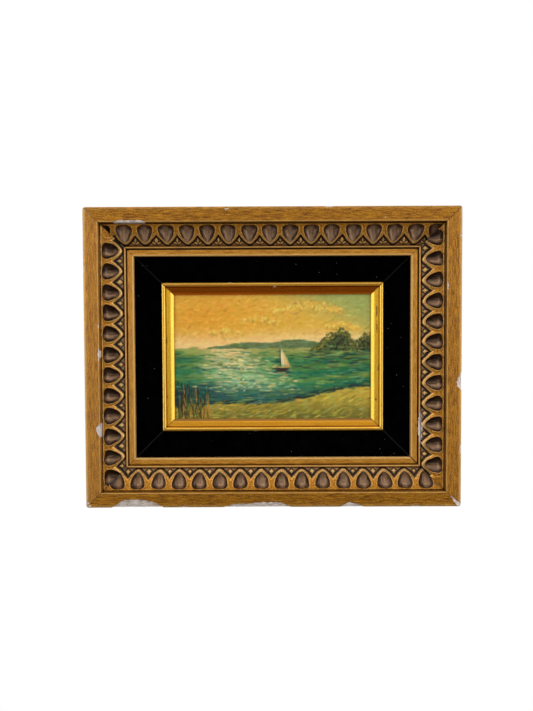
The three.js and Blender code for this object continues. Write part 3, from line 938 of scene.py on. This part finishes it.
# along, distance from the sight edge, half length and half width, in mm
slip_rubs = {
    "top": [],
    "right": [(-32.0, 3.8, 5.5, 0.6), (-21.0, 3.9, 5.0, 0.55), (30.7, 3.4, 1.3, 0.8), (8.0, 4.8, 3.0, 0.3)],
    "bottom": [(-31.0, 4.6, 2.0, 0.35)],
    "left": [(12.0, 4.8, 3.5, 0.3), (-28.0, 4.9, 2.5, 0.35)],
}
slip_nicks = {
    "top": [(1.7, 5.4, 1.1, 0.55), (-30.0, 8.1, 1.2, 0.3)],
    "right": [(-46.0, 8.0, 1.4, 0.3)],
    "bottom": [(12.0, 8.1, 1.6, 0.3)],
    "left": [(44.0, 8.0, 1.2, 0.3)],
}

# painted shade: how much redder and darker each length's gold is painted, most on the top length
slip_side_shade = {"top": 1.0, "right": 0.0, "bottom": 0.5, "left": 0.0}


def worn_spots(spots, along, across):
    """The strongest of a list of worn spots, whose places across are counted from the sight edge."""
    worn = np.zeros_like(along)
    for centre, place, half_length, half_width in spots:
        spot = worn_spot(along - centre, across - slip_sight + place, half_length, half_width)
        worn = np.maximum(worn, spot)
    return worn


def carve_slip(side, along, across, height):
    seed = list(sides).index(side) + 120
    facing = (height > 9.6) & (across > slip_bead - 0.1)
    uneven = 0.03 * wander(along, across, 6.0, seed) + 0.02 * wander(along, across, 1.0, seed + 1)
    nick = worn_spots(slip_nicks[side], along, across)
    to_mitre = distance_to_mitre(side, along, across)
    on_bead = 1 - blend(across, slip_quirk - 0.3, slip_quirk)
    on_roll = blend(across, slip_roll - 0.4, slip_roll + 1.0)
    attributes = {
        "facing": facing * 1.0,
        # painted shade: the redder, darker gold of the top and bottom lengths
        "red": np.full_like(height, slip_side_shade[side]),
        # paler gold on the bead, partly burnish and partly painted highlight, and painted highlight on the
        # side rolls
        "raised": np.maximum(on_bead, 0.7 * on_roll) if side in ("left", "right") else 0.6 * on_bead,
        # painted shade: the bottom length's roll is painted darker and duller
        "painted_lighting": (side == "bottom") * blend(across, slip_roll + 0.5, slip_roll + 1.5),
        # painted shade: the quirk is painted darker
        "quirk": hump(across - slip_quirk - 0.2, 0.25),
        "joint": hump(to_mitre, 0.25),
        "worn": worn_spots(slip_rubs[side], along, across),
        "nick": nick,
    }
    return height + facing * (uneven - 0.15 * nick), attributes


def make_slip_gilding():
    finish = Finish("burnished_gilding")
    run = finish.vector_attribute("run")
    streaks = finish.noise(run, 1.0, 3.0, stretch=(0.05, 2.0, 1))
    flecks = finish.noise(run, 0.8, 4.0, 0.7)
    tone = (streaks * 0.4 + flecks * 0.6).step(0.36, 0.64)
    # a lit yellow gold and a redder, darker copy of it that paints the shade on the top and bottom lengths
    yellow = finish.mix(tone, srgb(236, 172, 30), srgb(252, 204, 66))
    red = finish.mix(tone, srgb(178, 86, 4), srgb(206, 110, 20))
    side_shaded_gold = finish.mix(finish.attribute("red"), yellow, red)
    # paler gold for the bead and the side rolls: burnish and painted highlight
    burnish_and_highlight_gold = finish.mix(tone, srgb(240, 180, 60), srgb(255, 222, 110))
    colour = finish.mix(finish.attribute("raised"), side_shaded_gold, burnish_and_highlight_gold)
    # the quirk is painted darker as painted shade, and the mitre joints dark
    quirk = finish.attribute("quirk") * 0.3 + finish.attribute("joint") * 0.9
    colour = finish.mix(quirk.clamped(), colour, srgb(96, 44, 8))
    # painted shade on the bottom length's roll
    colour = finish.mix(finish.attribute("painted_lighting") * 0.75, colour, srgb(104, 72, 26))
    worn = (finish.attribute("worn") * (0.1 + flecks * 1.6)).step(0.55, 0.8)
    colour = finish.mix(worn * 0.8, colour, srgb(96, 52, 16))
    colour = finish.mix(finish.attribute("nick"), colour, srgb(232, 208, 184))
    card = finish.mix(finish.attribute("facing"), srgb(150, 112, 66), colour)
    plain = worn * 0.7 + finish.attribute("nick") + finish.attribute("joint") * 0.8
    plain = (plain + finish.attribute("painted_lighting") * 0.6).clamped()
    return finish.set(
        base_color=card,
        metallic=finish.attribute("facing") * (0.92 - plain * 0.9),
        roughness=0.24 + flecks * 0.16 + plain * 0.3,
        normal=finish.bump(streaks * 0.4 + flecks * 0.6, 0.0001, 0.7),
    )


slip_gilding = make_slip_gilding()
for side in sides:
    columns = round(sides[side]["length"] / 1.1)
    slip = moulded_length(f"gilt_slip_{side}", side, columns, slip_outline(), carve_slip)
    finish_piece(slip, slip_gilding, "gilt_slip", f"slip_{side}")
    print(slip.name, "has", len(slip.data.polygons), "faces")

# %% [markdown]
# The painting is a generic one, made up for this part: a still lake at dusk with low hills, a wooded shore,
# a bank of grass, reeds and a small boat. It is built as a painter works, from a few thousand overlapping
# dabs laid back to front. Each dab colours the spots that it covers and leaves a ridge of paint, so the
# same dabs give both the colour and the relief.

# %% A canvas to paint on
panel_low, panel_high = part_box("canvas_panel")
panel_width = (panel_high[0] - panel_low[0]) / MM
panel_height = (panel_high[2] - panel_low[2]) / MM
panel_thickness = (panel_high[1] - panel_low[1]) / MM
hidden_edge = 6.35
paint_columns = 352
paint_rows = 212
brush = np.random.default_rng(7)

paint_x = np.linspace(0, panel_width, paint_columns + 1)
paint_z = np.linspace(0, panel_height, paint_rows + 1)
sight_width = panel_width - 2 * hidden_edge
sight_height = panel_height - 2 * hidden_edge
spots = (paint_columns + 1, paint_rows + 1)
share_x = np.broadcast_to(((paint_x - hidden_edge) / sight_width)[:, None], spots)
share_z = np.broadcast_to(((paint_z - hidden_edge) / sight_height)[None, :], share_x.shape)
paint = np.zeros((*spots, 3))
thickness = np.zeros(spots)


def paint_colour(red, green, blue):
    return np.array([red, green, blue]) / 255


def fade(share, first, second):
    return first + np.asarray(share)[..., None] * (second - first)


def dab(x, z, length, width, angle, colour, body=0.05, bend=0.0, strength=1.0):
    """One stroke, at a share of the sight across and up, with its sizes in mm and its angle in degrees."""
    middle_x = hidden_edge + x * sight_width
    middle_z = hidden_edge + z * sight_height
    reach = length / 2 + width
    i = slice(*np.searchsorted(paint_x, (middle_x - reach, middle_x + reach)))
    j = slice(*np.searchsorted(paint_z, (middle_z - reach, middle_z + reach)))
    dx = paint_x[i, None] - middle_x
    dz = paint_z[None, j] - middle_z
    turn = math.radians(angle)
    along = (dx * math.cos(turn) + dz * math.sin(turn)) / (length / 2)
    across = (dz * math.cos(turn) - dx * math.sin(turn)) / (width / 2) - bend * along**2
    first, second = brush.uniform(0, 6, 2)
    bristle = 0.5 + 0.3 * np.sin(across * 5.5 + first) + 0.2 * np.sin(across * 12 + along * 1.5 + second)
    end = np.abs(along) * (1 + 0.2 * np.sin(across * 4 + second))
    cover = np.clip(1.2 - end**3 - across**2, 0, 1) * (0.5 + 0.8 * bristle)
    cover = np.clip(cover * strength, 0, 1)
    paint[i, j] += cover[..., None] * (colour - paint[i, j])
    ridge = body * (0.45 + 0.55 * bristle) * (0.7 + 0.5 * np.clip(along, -1, 1) ** 2)
    thickness[i, j] += cover * (ridge + 0.35 * thickness[i, j] - thickness[i, j])


# %% Sky, water and land in broad colours
dusk_cream = paint_colour(252, 214, 146)
dusk_gold = paint_colour(233, 185, 70)
dusk_orange = paint_colour(240, 164, 43)
sky_green = paint_colour(160, 178, 101)
far_water = paint_colour(156, 162, 81)
green_water = paint_colour(90, 132, 60)
teal_water = paint_colour(19, 109, 76)
deep_teal = paint_colour(6, 54, 58)
pale_teal = paint_colour(160, 200, 147)
bank_yellow = paint_colour(197, 168, 56)
bank_olive = paint_colour(118, 113, 39)
hill_blue = paint_colour(111, 134, 89)
hill_green = paint_colour(90, 109, 52)
tree_dark = paint_colour(38, 46, 22)
horizon = 0.57


def bank_top(x):
    """How high the grassy bank reaches, at a share of the way across."""
    return 0.09 + 0.16 * np.clip(x, 0, 1) ** 1.6 + 0.02 * np.sin(9 * x)


def hill_top(x):
    return horizon + 0.065 * hump(x - 0.62, 0.16) + 0.04 * hump(x - 0.36, 0.10)


def tree_top(x):
    crowns = 0.10 * np.abs(np.sin(13 * x + 0.4)) + 0.05 * np.abs(np.sin(31 * x))
    return horizon - 0.02 + (0.035 + crowns) * np.clip((x - 0.70) * 9, 0, 1)


def broad_colour(x, z):
    up = np.clip((z - horizon) / (1 - horizon), 0, 1)
    glow = hump(x - 0.16, 0.36) * hump(up - 0.62, 0.45)
    sky = fade(blend(up, 0.08, 0.45), dusk_cream, dusk_gold)
    sky = fade(0.85 * blend(x + 0.6 * up, 0.95, 1.45), sky, sky_green)
    sky = fade(0.8 * glow, sky, dusk_orange)
    down = np.clip((horizon - z) / (horizon - 0.15), 0, 1)
    ripple = 0.5 + 0.5 * np.sin(26 * down + 2.2 * np.sin(5 * x + 1) + 5 * x)
    water = fade(blend(down, 0.0, 0.25), far_water, green_water)
    water = fade(0.85 * ripple * blend(down, 0.08, 0.30), water, teal_water)
    water = fade(blend(down + 0.08 * np.sin(7 * x), 0.62, 0.88), water, deep_teal)
    light = hump(x - 0.26 - 0.16 * down, 0.10 + 0.16 * down) * (0.85 - 0.5 * blend(down, 0.6, 0.95))
    water = fade(light, water, fade(blend(down, 0.15, 0.6), dusk_cream, pale_teal))
    bank = fade(blend(z, 0.0, 0.2), bank_olive, bank_yellow)
    scene = np.where((z > horizon)[..., None], sky, water)
    hilly = (z > horizon) & (z < hill_top(x)) & (x > 0.18)
    wooded = (z > horizon - 0.02) & (z < tree_top(x) - 0.02) & (x > 0.7)
    scene = np.where(hilly[..., None], hill_blue, scene)
    scene = np.where(wooded[..., None], tree_dark, scene)
    return np.where((z < bank_top(x))[..., None], bank, scene)


paint[:] = broad_colour(share_x, share_z)
for _ in range(4600):
    x, z = brush.uniform(-0.05, 1.05), brush.uniform(-0.07, 1.07)
    tint = broad_colour(np.array(x), np.array(z)) + brush.normal(0, 0.035) + brush.normal(0, 0.018, 3)
    if z > max(hill_top(x), tree_top(x)) + 0.02:
        size, angle = brush.uniform(2.0, 6.0), brush.normal(10, 30)
    elif z > bank_top(x):
        size, angle = brush.uniform(2.5, 9.0), brush.normal(0, 4)
    else:
        size, angle = brush.uniform(2.5, 6.5), brush.normal(14, 16)
    dab(x, z, size, size * brush.uniform(0.20, 0.38), angle, np.clip(tint, 0, 1), brush.uniform(0.03, 0.08))
print("broad strokes laid, thickest paint", round(float(thickness.max()), 3), "mm")

# %% Clouds, hills and the wooded shore
cloud_light = paint_colour(252, 223, 107)
cloud_warm = paint_colour(240, 183, 64)
cloud_shade = paint_colour(199, 155, 70)
tree_olive = paint_colour(92, 97, 33)
tree_light = paint_colour(169, 149, 50)


def scatter(count, colours, place, length, width, angle, body, strength=1.0):
    """Lays dabs whose places come from place(), in colours picked from the list."""
    for _ in range(count):
        x, z = place()
        colour = np.clip(colours[brush.integers(len(colours))] + brush.normal(0, 0.025, 3), 0, 1)
        shape = brush.uniform(*length), brush.uniform(*width), brush.normal(*angle)
        dab(x, z, *shape, colour, body, strength=strength * brush.uniform(0.6, 1))


# middle across and up, and radius in mm, of each puff of cloud
puffs = [
    (0.60, 0.88, 5.0), (0.67, 0.91, 6.5), (0.75, 0.90, 6.0), (0.82, 0.87, 4.0), (0.53, 0.86, 3.5),
    (0.38, 0.79, 3.0), (0.44, 0.80, 4.5), (0.50, 0.78, 3.2), (0.80, 0.74, 3.4), (0.86, 0.75, 4.2),
    (0.92, 0.73, 3.0), (0.20, 0.69, 2.4), (0.27, 0.70, 3.0), (0.34, 0.69, 2.2),
]


def in_puff(puff, spread, shift):
    """A chance place in a flattened puff of cloud, shifted up and to the left by shift, in mm."""
    x, z, radius = puff
    turn = brush.uniform(0, 2 * math.pi)
    reach = radius * math.sqrt(brush.uniform(0, 1)) * spread
    return (
        x + (reach * math.cos(turn) * 1.5 - shift) / sight_width,
        z + (reach * math.sin(turn) * 0.6 + shift) / sight_height,
    )


# each puff has its shaded side first and its lit side over it
cloud_strokes = [
    ([cloud_shade, cloud_warm], 1.1, -0.4, ((1.5, 4), (0.9, 1.8), (10, 40), 0.08, 0.7)),
    ([cloud_warm, cloud_light], 0.8, 0.8, ((1.2, 3), (0.8, 1.5), (25, 50), 0.16, 0.8)),
]
for puff in puffs:
    for colours, spread, shift, shape in cloud_strokes:
        scatter(round(puff[2] * 9), colours, lambda: in_puff(puff, spread, shift), *shape)


def on_hills():
    x = brush.uniform(0.18, 1.03)
    return x, brush.uniform(horizon, hill_top(x) + 0.002)


def on_trees():
    x = brush.uniform(0.70, 1.03)
    return x, brush.uniform(horizon - 0.02, tree_top(x) + 0.01)


def on_lit_trees():
    x, z = on_trees()
    return x, max(z, tree_top(x) - 0.035)


def under_trees():
    x = brush.uniform(0.66, 1.03)
    return x, horizon - 0.02 - 0.16 * brush.beta(1, 1.8)


scatter(420, [hill_blue, hill_green], on_hills, (2.5, 6), (0.8, 1.5), (0, 5), 0.03)
scatter(620, [tree_dark, tree_olive, hill_green], on_trees, (1.0, 2.6), (0.9, 1.7), (70, 40), 0.06)
scatter(170, [tree_light, tree_olive], on_lit_trees, (0.8, 1.7), (0.6, 1.1), (60, 45), 0.12)
scatter(130, [tree_dark, deep_teal, hill_green], under_trees, (3, 9), (0.6, 1.3), (0, 2), 0.04, 0.8)

# %% Ripples and light on the water
glint = paint_colour(252, 237, 171)


def on_open_water():
    x = brush.uniform(-0.02, 1.02)
    return x, brush.uniform(bank_top(x), horizon - 0.02)


def in_light():
    down = brush.beta(1.3, 1.1)
    x = brush.normal(0.26 + 0.14 * down, 0.06 + 0.09 * down)
    return x, horizon - 0.012 - down * 0.34


water_colours = [teal_water, deep_teal, green_water, far_water]
scatter(420, water_colours, on_open_water, (3, 11), (0.5, 1.5), (0, 4), 0.06, 0.7)
scatter(120, [far_water, pale_teal, green_water], on_open_water, (2, 7), (0.4, 0.9), (0, 4), 0.08, 0.6)
scatter(260, [pale_teal, dusk_cream, green_water], in_light, (2, 7), (0.5, 1.3), (0, 5), 0.10, 0.7)
scatter(120, [glint, dusk_cream], in_light, (1.5, 5), (0.4, 0.9), (0, 4), 0.16, 0.9)

# %% A small sailing boat
hull_dark = paint_colour(48, 30, 22)
rail_light = paint_colour(220, 168, 93)
sail_light = paint_colour(252, 231, 171)
sail_shade = paint_colour(218, 166, 89)
boat_x, boat_z = 0.54, 0.40


def boat_dab(right, up, length, width, angle, colour, body=0.1, bend=0.0):
    dab(boat_x + right / sight_width, boat_z + up / sight_height, length, width, angle, colour, body, bend)


boat_dab(1.0, -2.2, 14, 2.2, 0, deep_teal, 0.04)
for down in range(9):
    colour = [sail_shade, pale_teal][down % 2]
    boat_dab(1.6 + 0.8 * brush.normal(), -2.6 - 1.0 * down, 5.5 - 0.4 * down, 0.7, 0, colour)
for strip in range(10):
    tall = 13.5 * (1 - strip / 10) ** 0.85
    colour = fade(strip / 9, sail_light, sail_shade)
    boat_dab(0.7 + 0.62 * strip, 1.7 + tall / 2, tall, 1.3, 94 - 1.2 * strip, colour, 0.12)
boat_dab(0.0, 8.0, 16, 0.75, 91, hull_dark)
for up, length in ((-1.0, 9.5), (-0.2, 12.0), (0.6, 13.5)):
    boat_dab(1.0, up, length, 1.4, 1, hull_dark, bend=-0.25)
boat_dab(1.0, 1.3, 13.5, 0.7, 1, rail_light, 0.14, bend=-0.6)

# %% The bank and its reeds
grass_light = paint_colour(238, 204, 74)
reed_dark = paint_colour(46, 32, 20)
reed_ochre = paint_colour(188, 130, 37)


def along_shore():
    x = brush.uniform(0.0, 1.0)
    return x, bank_top(x) + brush.normal(0.010, 0.008)


def on_bank():
    x = brush.uniform(0.0, 1.0)
    return x, brush.uniform(-0.02, bank_top(x) - 0.015)


scatter(110, [deep_teal, tree_dark, bank_olive], along_shore, (3, 8), (0.7, 1.4), (9, 5), 0.05)
scatter(260, [bank_olive, tree_olive, sky_green], on_bank, (2, 7), (0.6, 1.5), (16, 14), 0.06, 0.7)
scatter(260, [grass_light, bank_yellow, tree_light], on_bank, (2, 7), (0.5, 1.3), (16, 14), 0.10, 0.7)

for _ in range(70):
    stem_x = brush.uniform(0.012, 0.18)
    stem_height = brush.uniform(9, 27) * (1.1 - 3 * abs(stem_x - 0.08))
    lean = brush.normal(92, 7)
    stem_z = stem_height / 2 / sight_height - 0.01
    colour = [reed_dark, reed_ochre, tree_olive][brush.integers(3)]
    dab(stem_x, stem_z, stem_height, 0.75, lean, colour, 0.09, bend=brush.uniform(-1.2, 1.2))
    if brush.uniform() < 0.3:
        tip_x = stem_x + math.cos(math.radians(lean)) * stem_height / 2 / sight_width
        tip_z = stem_z + stem_height / 2 / sight_height
        dab(tip_x, tip_z, 3.6, 1.1, lean, reed_dark, 0.14)
print("painting finished, thickest paint", round(float(thickness.max()), 3), "mm")

# %% [markdown]
# The board is a grid for its painted face, pushed back along its edge for the sides and closed at the back.
# The paint's thickness fades out under the slip, which keeps the board clear of it. The finish reads the
# dabs' colours and adds what is finer than a dab: the weave of the canvas, which shows through thin paint,
# and a soft varnish.

# %% The canvas board
thickest = 0.22
clear_of_sides = blend(np.minimum(share_x, 1 - share_x), -0.01, 0.012)
clear_of_ends = blend(np.minimum(share_z, 1 - share_z), -0.015, 0.018)
relief = np.clip(thickness, 0, thickest) * clear_of_sides * clear_of_ends

board, column, row = add_grid("painted_board", paint_columns, paint_rows)
board_places = np.stack(
    [
        panel_low[0] + paint_x[column] * MM,
        panel_low[1] - relief[column, row] * MM,
        panel_low[2] + paint_z[row] * MM,
    ],
    axis=-1,
)
board.data.vertices.foreach_set("co", board_places.ravel())

edit(board)
bpy.ops.mesh.select_mode(type="EDGE")
bpy.ops.mesh.select_all(action="DESELECT")
bpy.ops.mesh.select_non_manifold()
bpy.ops.mesh.extrude_region_move(TRANSFORM_OT_translate={"value": (0, panel_thickness * MM, 0)})
bpy.ops.mesh.edge_face_add()
bpy.ops.mesh.select_all(action="SELECT")
bpy.ops.mesh.normals_make_consistent(inside=False)
bpy.ops.object.mode_set(mode="OBJECT")

count = len(board.data.vertices)
colours = np.tile(np.append(paint_colour(214, 204, 184), 1.0), (count, 1))
colours[: len(column), :3] = to_linear(np.clip(paint, 0, 1))[column, row]
layer = board.data.color_attributes.new("paint", "FLOAT_COLOR", "POINT")
layer.data.foreach_set("color", np.ascontiguousarray(colours, "f").ravel())
loaded = np.zeros(count)
loaded[: len(column)] = relief[column, row] / thickest
add_values(board, "loaded", loaded)
print(board.name, "has", len(board.data.polygons), "faces")


# %% Paint, varnish and bare canvas
def make_paint():
    finish = Finish("oil_paint")
    place = finish.place()
    across, depth, up = finish.split(place)
    thread = 0.88
    turns = 2 * math.pi / thread
    warp = up.maths("SINE", across * turns)
    weft = up.maths("SINE", up * turns)
    over = up.maths("SINE", (across + up) * (turns / 2))
    weave = warp * 0.5 + weft * 0.5 + over * 0.3
    mottle = finish.noise(place, 0.9, 3.0, 0.6)
    thin = 1 - finish.attribute("loaded").step(0.1, 0.55)
    shade = (0.5 + weave * (0.18 + thin * 0.18) + (mottle - 0.5) * 0.8).clamped()
    grey = finish.node("ShaderNodeCombineXYZ", {}, {0: shade, 1: shade, 2: shade})
    laid = finish.node("ShaderNodeAttribute", {"attribute_name": "paint"}, {})
    soft_light = {"data_type": "RGBA", "blend_type": "SOFT_LIGHT"}
    painted = finish.node("ShaderNodeMix", soft_light, {0: 0.55, 6: laid, 7: grey}, output=2)

    back_y = panel_high[1] / MM
    behind = (depth - (back_y - 0.4)).step(0.0, 0.3)
    middle_x = (panel_low[0] + panel_high[0]) / 2 / MM
    middle_z = (panel_low[2] + panel_high[2]) / 2 / MM
    past_side = up.maths("ABSOLUTE", across - middle_x) - panel_width / 2
    past_top = up.maths("ABSOLUTE", up - middle_z) - panel_height / 2
    turned_over = 11.0
    folded = up.maths("MAXIMUM", past_side, past_top).step(-turned_over, 0.4 - turned_over)
    paper = finish.mix(mottle, srgb(168, 160, 148), srgb(146, 138, 126))
    canvas = finish.mix((weave * 0.5 + 0.5).clamped(), srgb(196, 182, 150), srgb(222, 210, 182))
    colour = finish.mix(behind, painted, finish.mix(folded, paper, canvas))
    surface = weave * (0.25 + thin * 0.75) * 0.35 + mottle * 0.5
    finish.set(base_color=colour, roughness=0.42 + mottle * 0.2, normal=finish.bump(surface, 0.00012, 0.8))
    return finish.set(coat_weight=0.05, coat_roughness=0.3, specular_ior_level=0.3)


finish_piece(board, make_paint(), "canvas_board", "canvas_panel", smooth_angle=60)

# %% [markdown]
# The hanger and the small nails and points that hold the layers together at the back are the parts of the
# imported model, which already have their shape. They only need a finish: zinc-plated steel, spangled,
# scratched and dulled.

# %% Zinc-plated steel for the hanger, the nails and the points
def make_steel():
    finish = Finish("plated_steel")
    place = finish.place()
    spangle = finish.node("ShaderNodeTexVoronoi", {}, {"Vector": place, "Scale": 0.7})
    scratches = finish.noise(place, 1.0, 3.0, 0.6, stretch=(0.4, 1, 6))
    stains = finish.noise(place, 0.25, 4.0, 0.65)
    plate = finish.mix(spangle.step(0.1, 0.8), srgb(176, 178, 176), srgb(146, 148, 148))
    dulled = stains.step(0.52, 0.72)
    colour = finish.mix(dulled * 0.6, plate, srgb(112, 98, 80))
    bump = finish.bump(scratches * 0.6 + spangle * 0.4, 0.00004, 0.6)
    return finish.set(
        base_color=colour,
        metallic=0.95 - dulled * 0.4,
        roughness=0.30 + scratches * 0.25 + dulled * 0.2,
        normal=bump,
    )


steel = make_steel()
replaced = [f"{part}_{side}" for part in ("rail", "velvet", "slip") for side in sides] + ["canvas_panel"]
for name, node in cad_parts.items():
    if name not in replaced:
        node.data.materials.clear()
        node.data.materials.append(steel)
        print(name, "is steel")

# %% [markdown]
# The photograph has a plain white ground and soft light from above and a little to the left. The floor lies
# below the frame, out of sight of the camera. Broad, gentle lights in front leave the mouldings with a
# bright upper edge and a shaded lower one, and a panel at each side is there for the burnished slip to
# mirror.

# %% The floor
floor_drop = 2.0
floor_half = 0.9
deselect_all()
bpy.ops.mesh.primitive_plane_add(size=2 * floor_half, location=(0, 0, cad_low[2] - floor_drop))
floor = bpy.context.object
floor.name = "floor"
floor_finish = Finish("pale_floor")
cast = floor_finish.noise(floor_finish.place(), 0.02, 3.0)
floor_finish.set(base_color=floor_finish.mix(cast, srgb(226, 226, 224), srgb(236, 236, 235)), roughness=0.8)
floor.data.materials.append(floor_finish.material)

# %% The lights
def add_light(name, place, target, width, height, power, colour=(1, 1, 1)):
    data = bpy.data.lights.new(name, "AREA")
    data.shape = "RECTANGLE"
    data.size = width
    data.size_y = height
    data.energy = power
    data.color = colour
    light = bpy.data.objects.new(name, data)
    bpy.context.scene.collection.objects.link(light)
    light.location = middle + Vector(place)
    light.rotation_euler = (Vector(target) - Vector(place)).to_track_quat("-Z", "Y").to_euler()
    light.visible_camera = False
    print(name, "of", power, "W")


add_light("window_light", (-0.25, -0.55, 1.4), (0, 0, 0), 2.4, 1.0, 9)
add_light("left_panel", (-1.0, -0.55, 0.1), (0, 0, 0), 1.1, 1.4, 6.3)
add_light("right_panel", (1.0, -0.55, 0.1), (0, 0, 0), 1.1, 1.4, 6.3)

# %% The white ground and the light of the room
# the camera sees plain white, and the frame is lit by a dimmer room, darker towards the floor
room_dark = 0.15
room_light = 0.66
world = bpy.data.worlds.new("room")
bpy.context.scene.world = world
world.use_nodes = True
nodes = world.node_tree.nodes
links = world.node_tree.links
nodes.clear()
seen = nodes.new("ShaderNodeBackground")
lit = nodes.new("ShaderNodeBackground")
for ground in (seen, lit):
    ground.inputs["Color"].default_value = (1, 1, 1, 1)
direction = nodes.new("ShaderNodeTexCoord")
parts = nodes.new("ShaderNodeSeparateXYZ")
rise = nodes.new("ShaderNodeMapRange")
rise.interpolation_type = "SMOOTHSTEP"
for socket, value in {"From Min": -0.5, "From Max": 0.4, "To Min": room_dark, "To Max": room_light}.items():
    rise.inputs[socket].default_value = value
links.new(direction.outputs["Generated"], parts.inputs[0])
links.new(parts.outputs["Z"], rise.inputs["Value"])
links.new(rise.outputs[0], lit.inputs["Strength"])
ray = nodes.new("ShaderNodeLightPath")
choice = nodes.new("ShaderNodeMixShader")
out = nodes.new("ShaderNodeOutputWorld")
links.new(ray.outputs["Is Camera Ray"], choice.inputs["Fac"])
links.new(lit.outputs["Background"], choice.inputs[1])
links.new(seen.outputs["Background"], choice.inputs[2])
links.new(choice.outputs["Shader"], out.inputs["Surface"])
bpy.context.scene.view_settings.view_transform = "Standard"
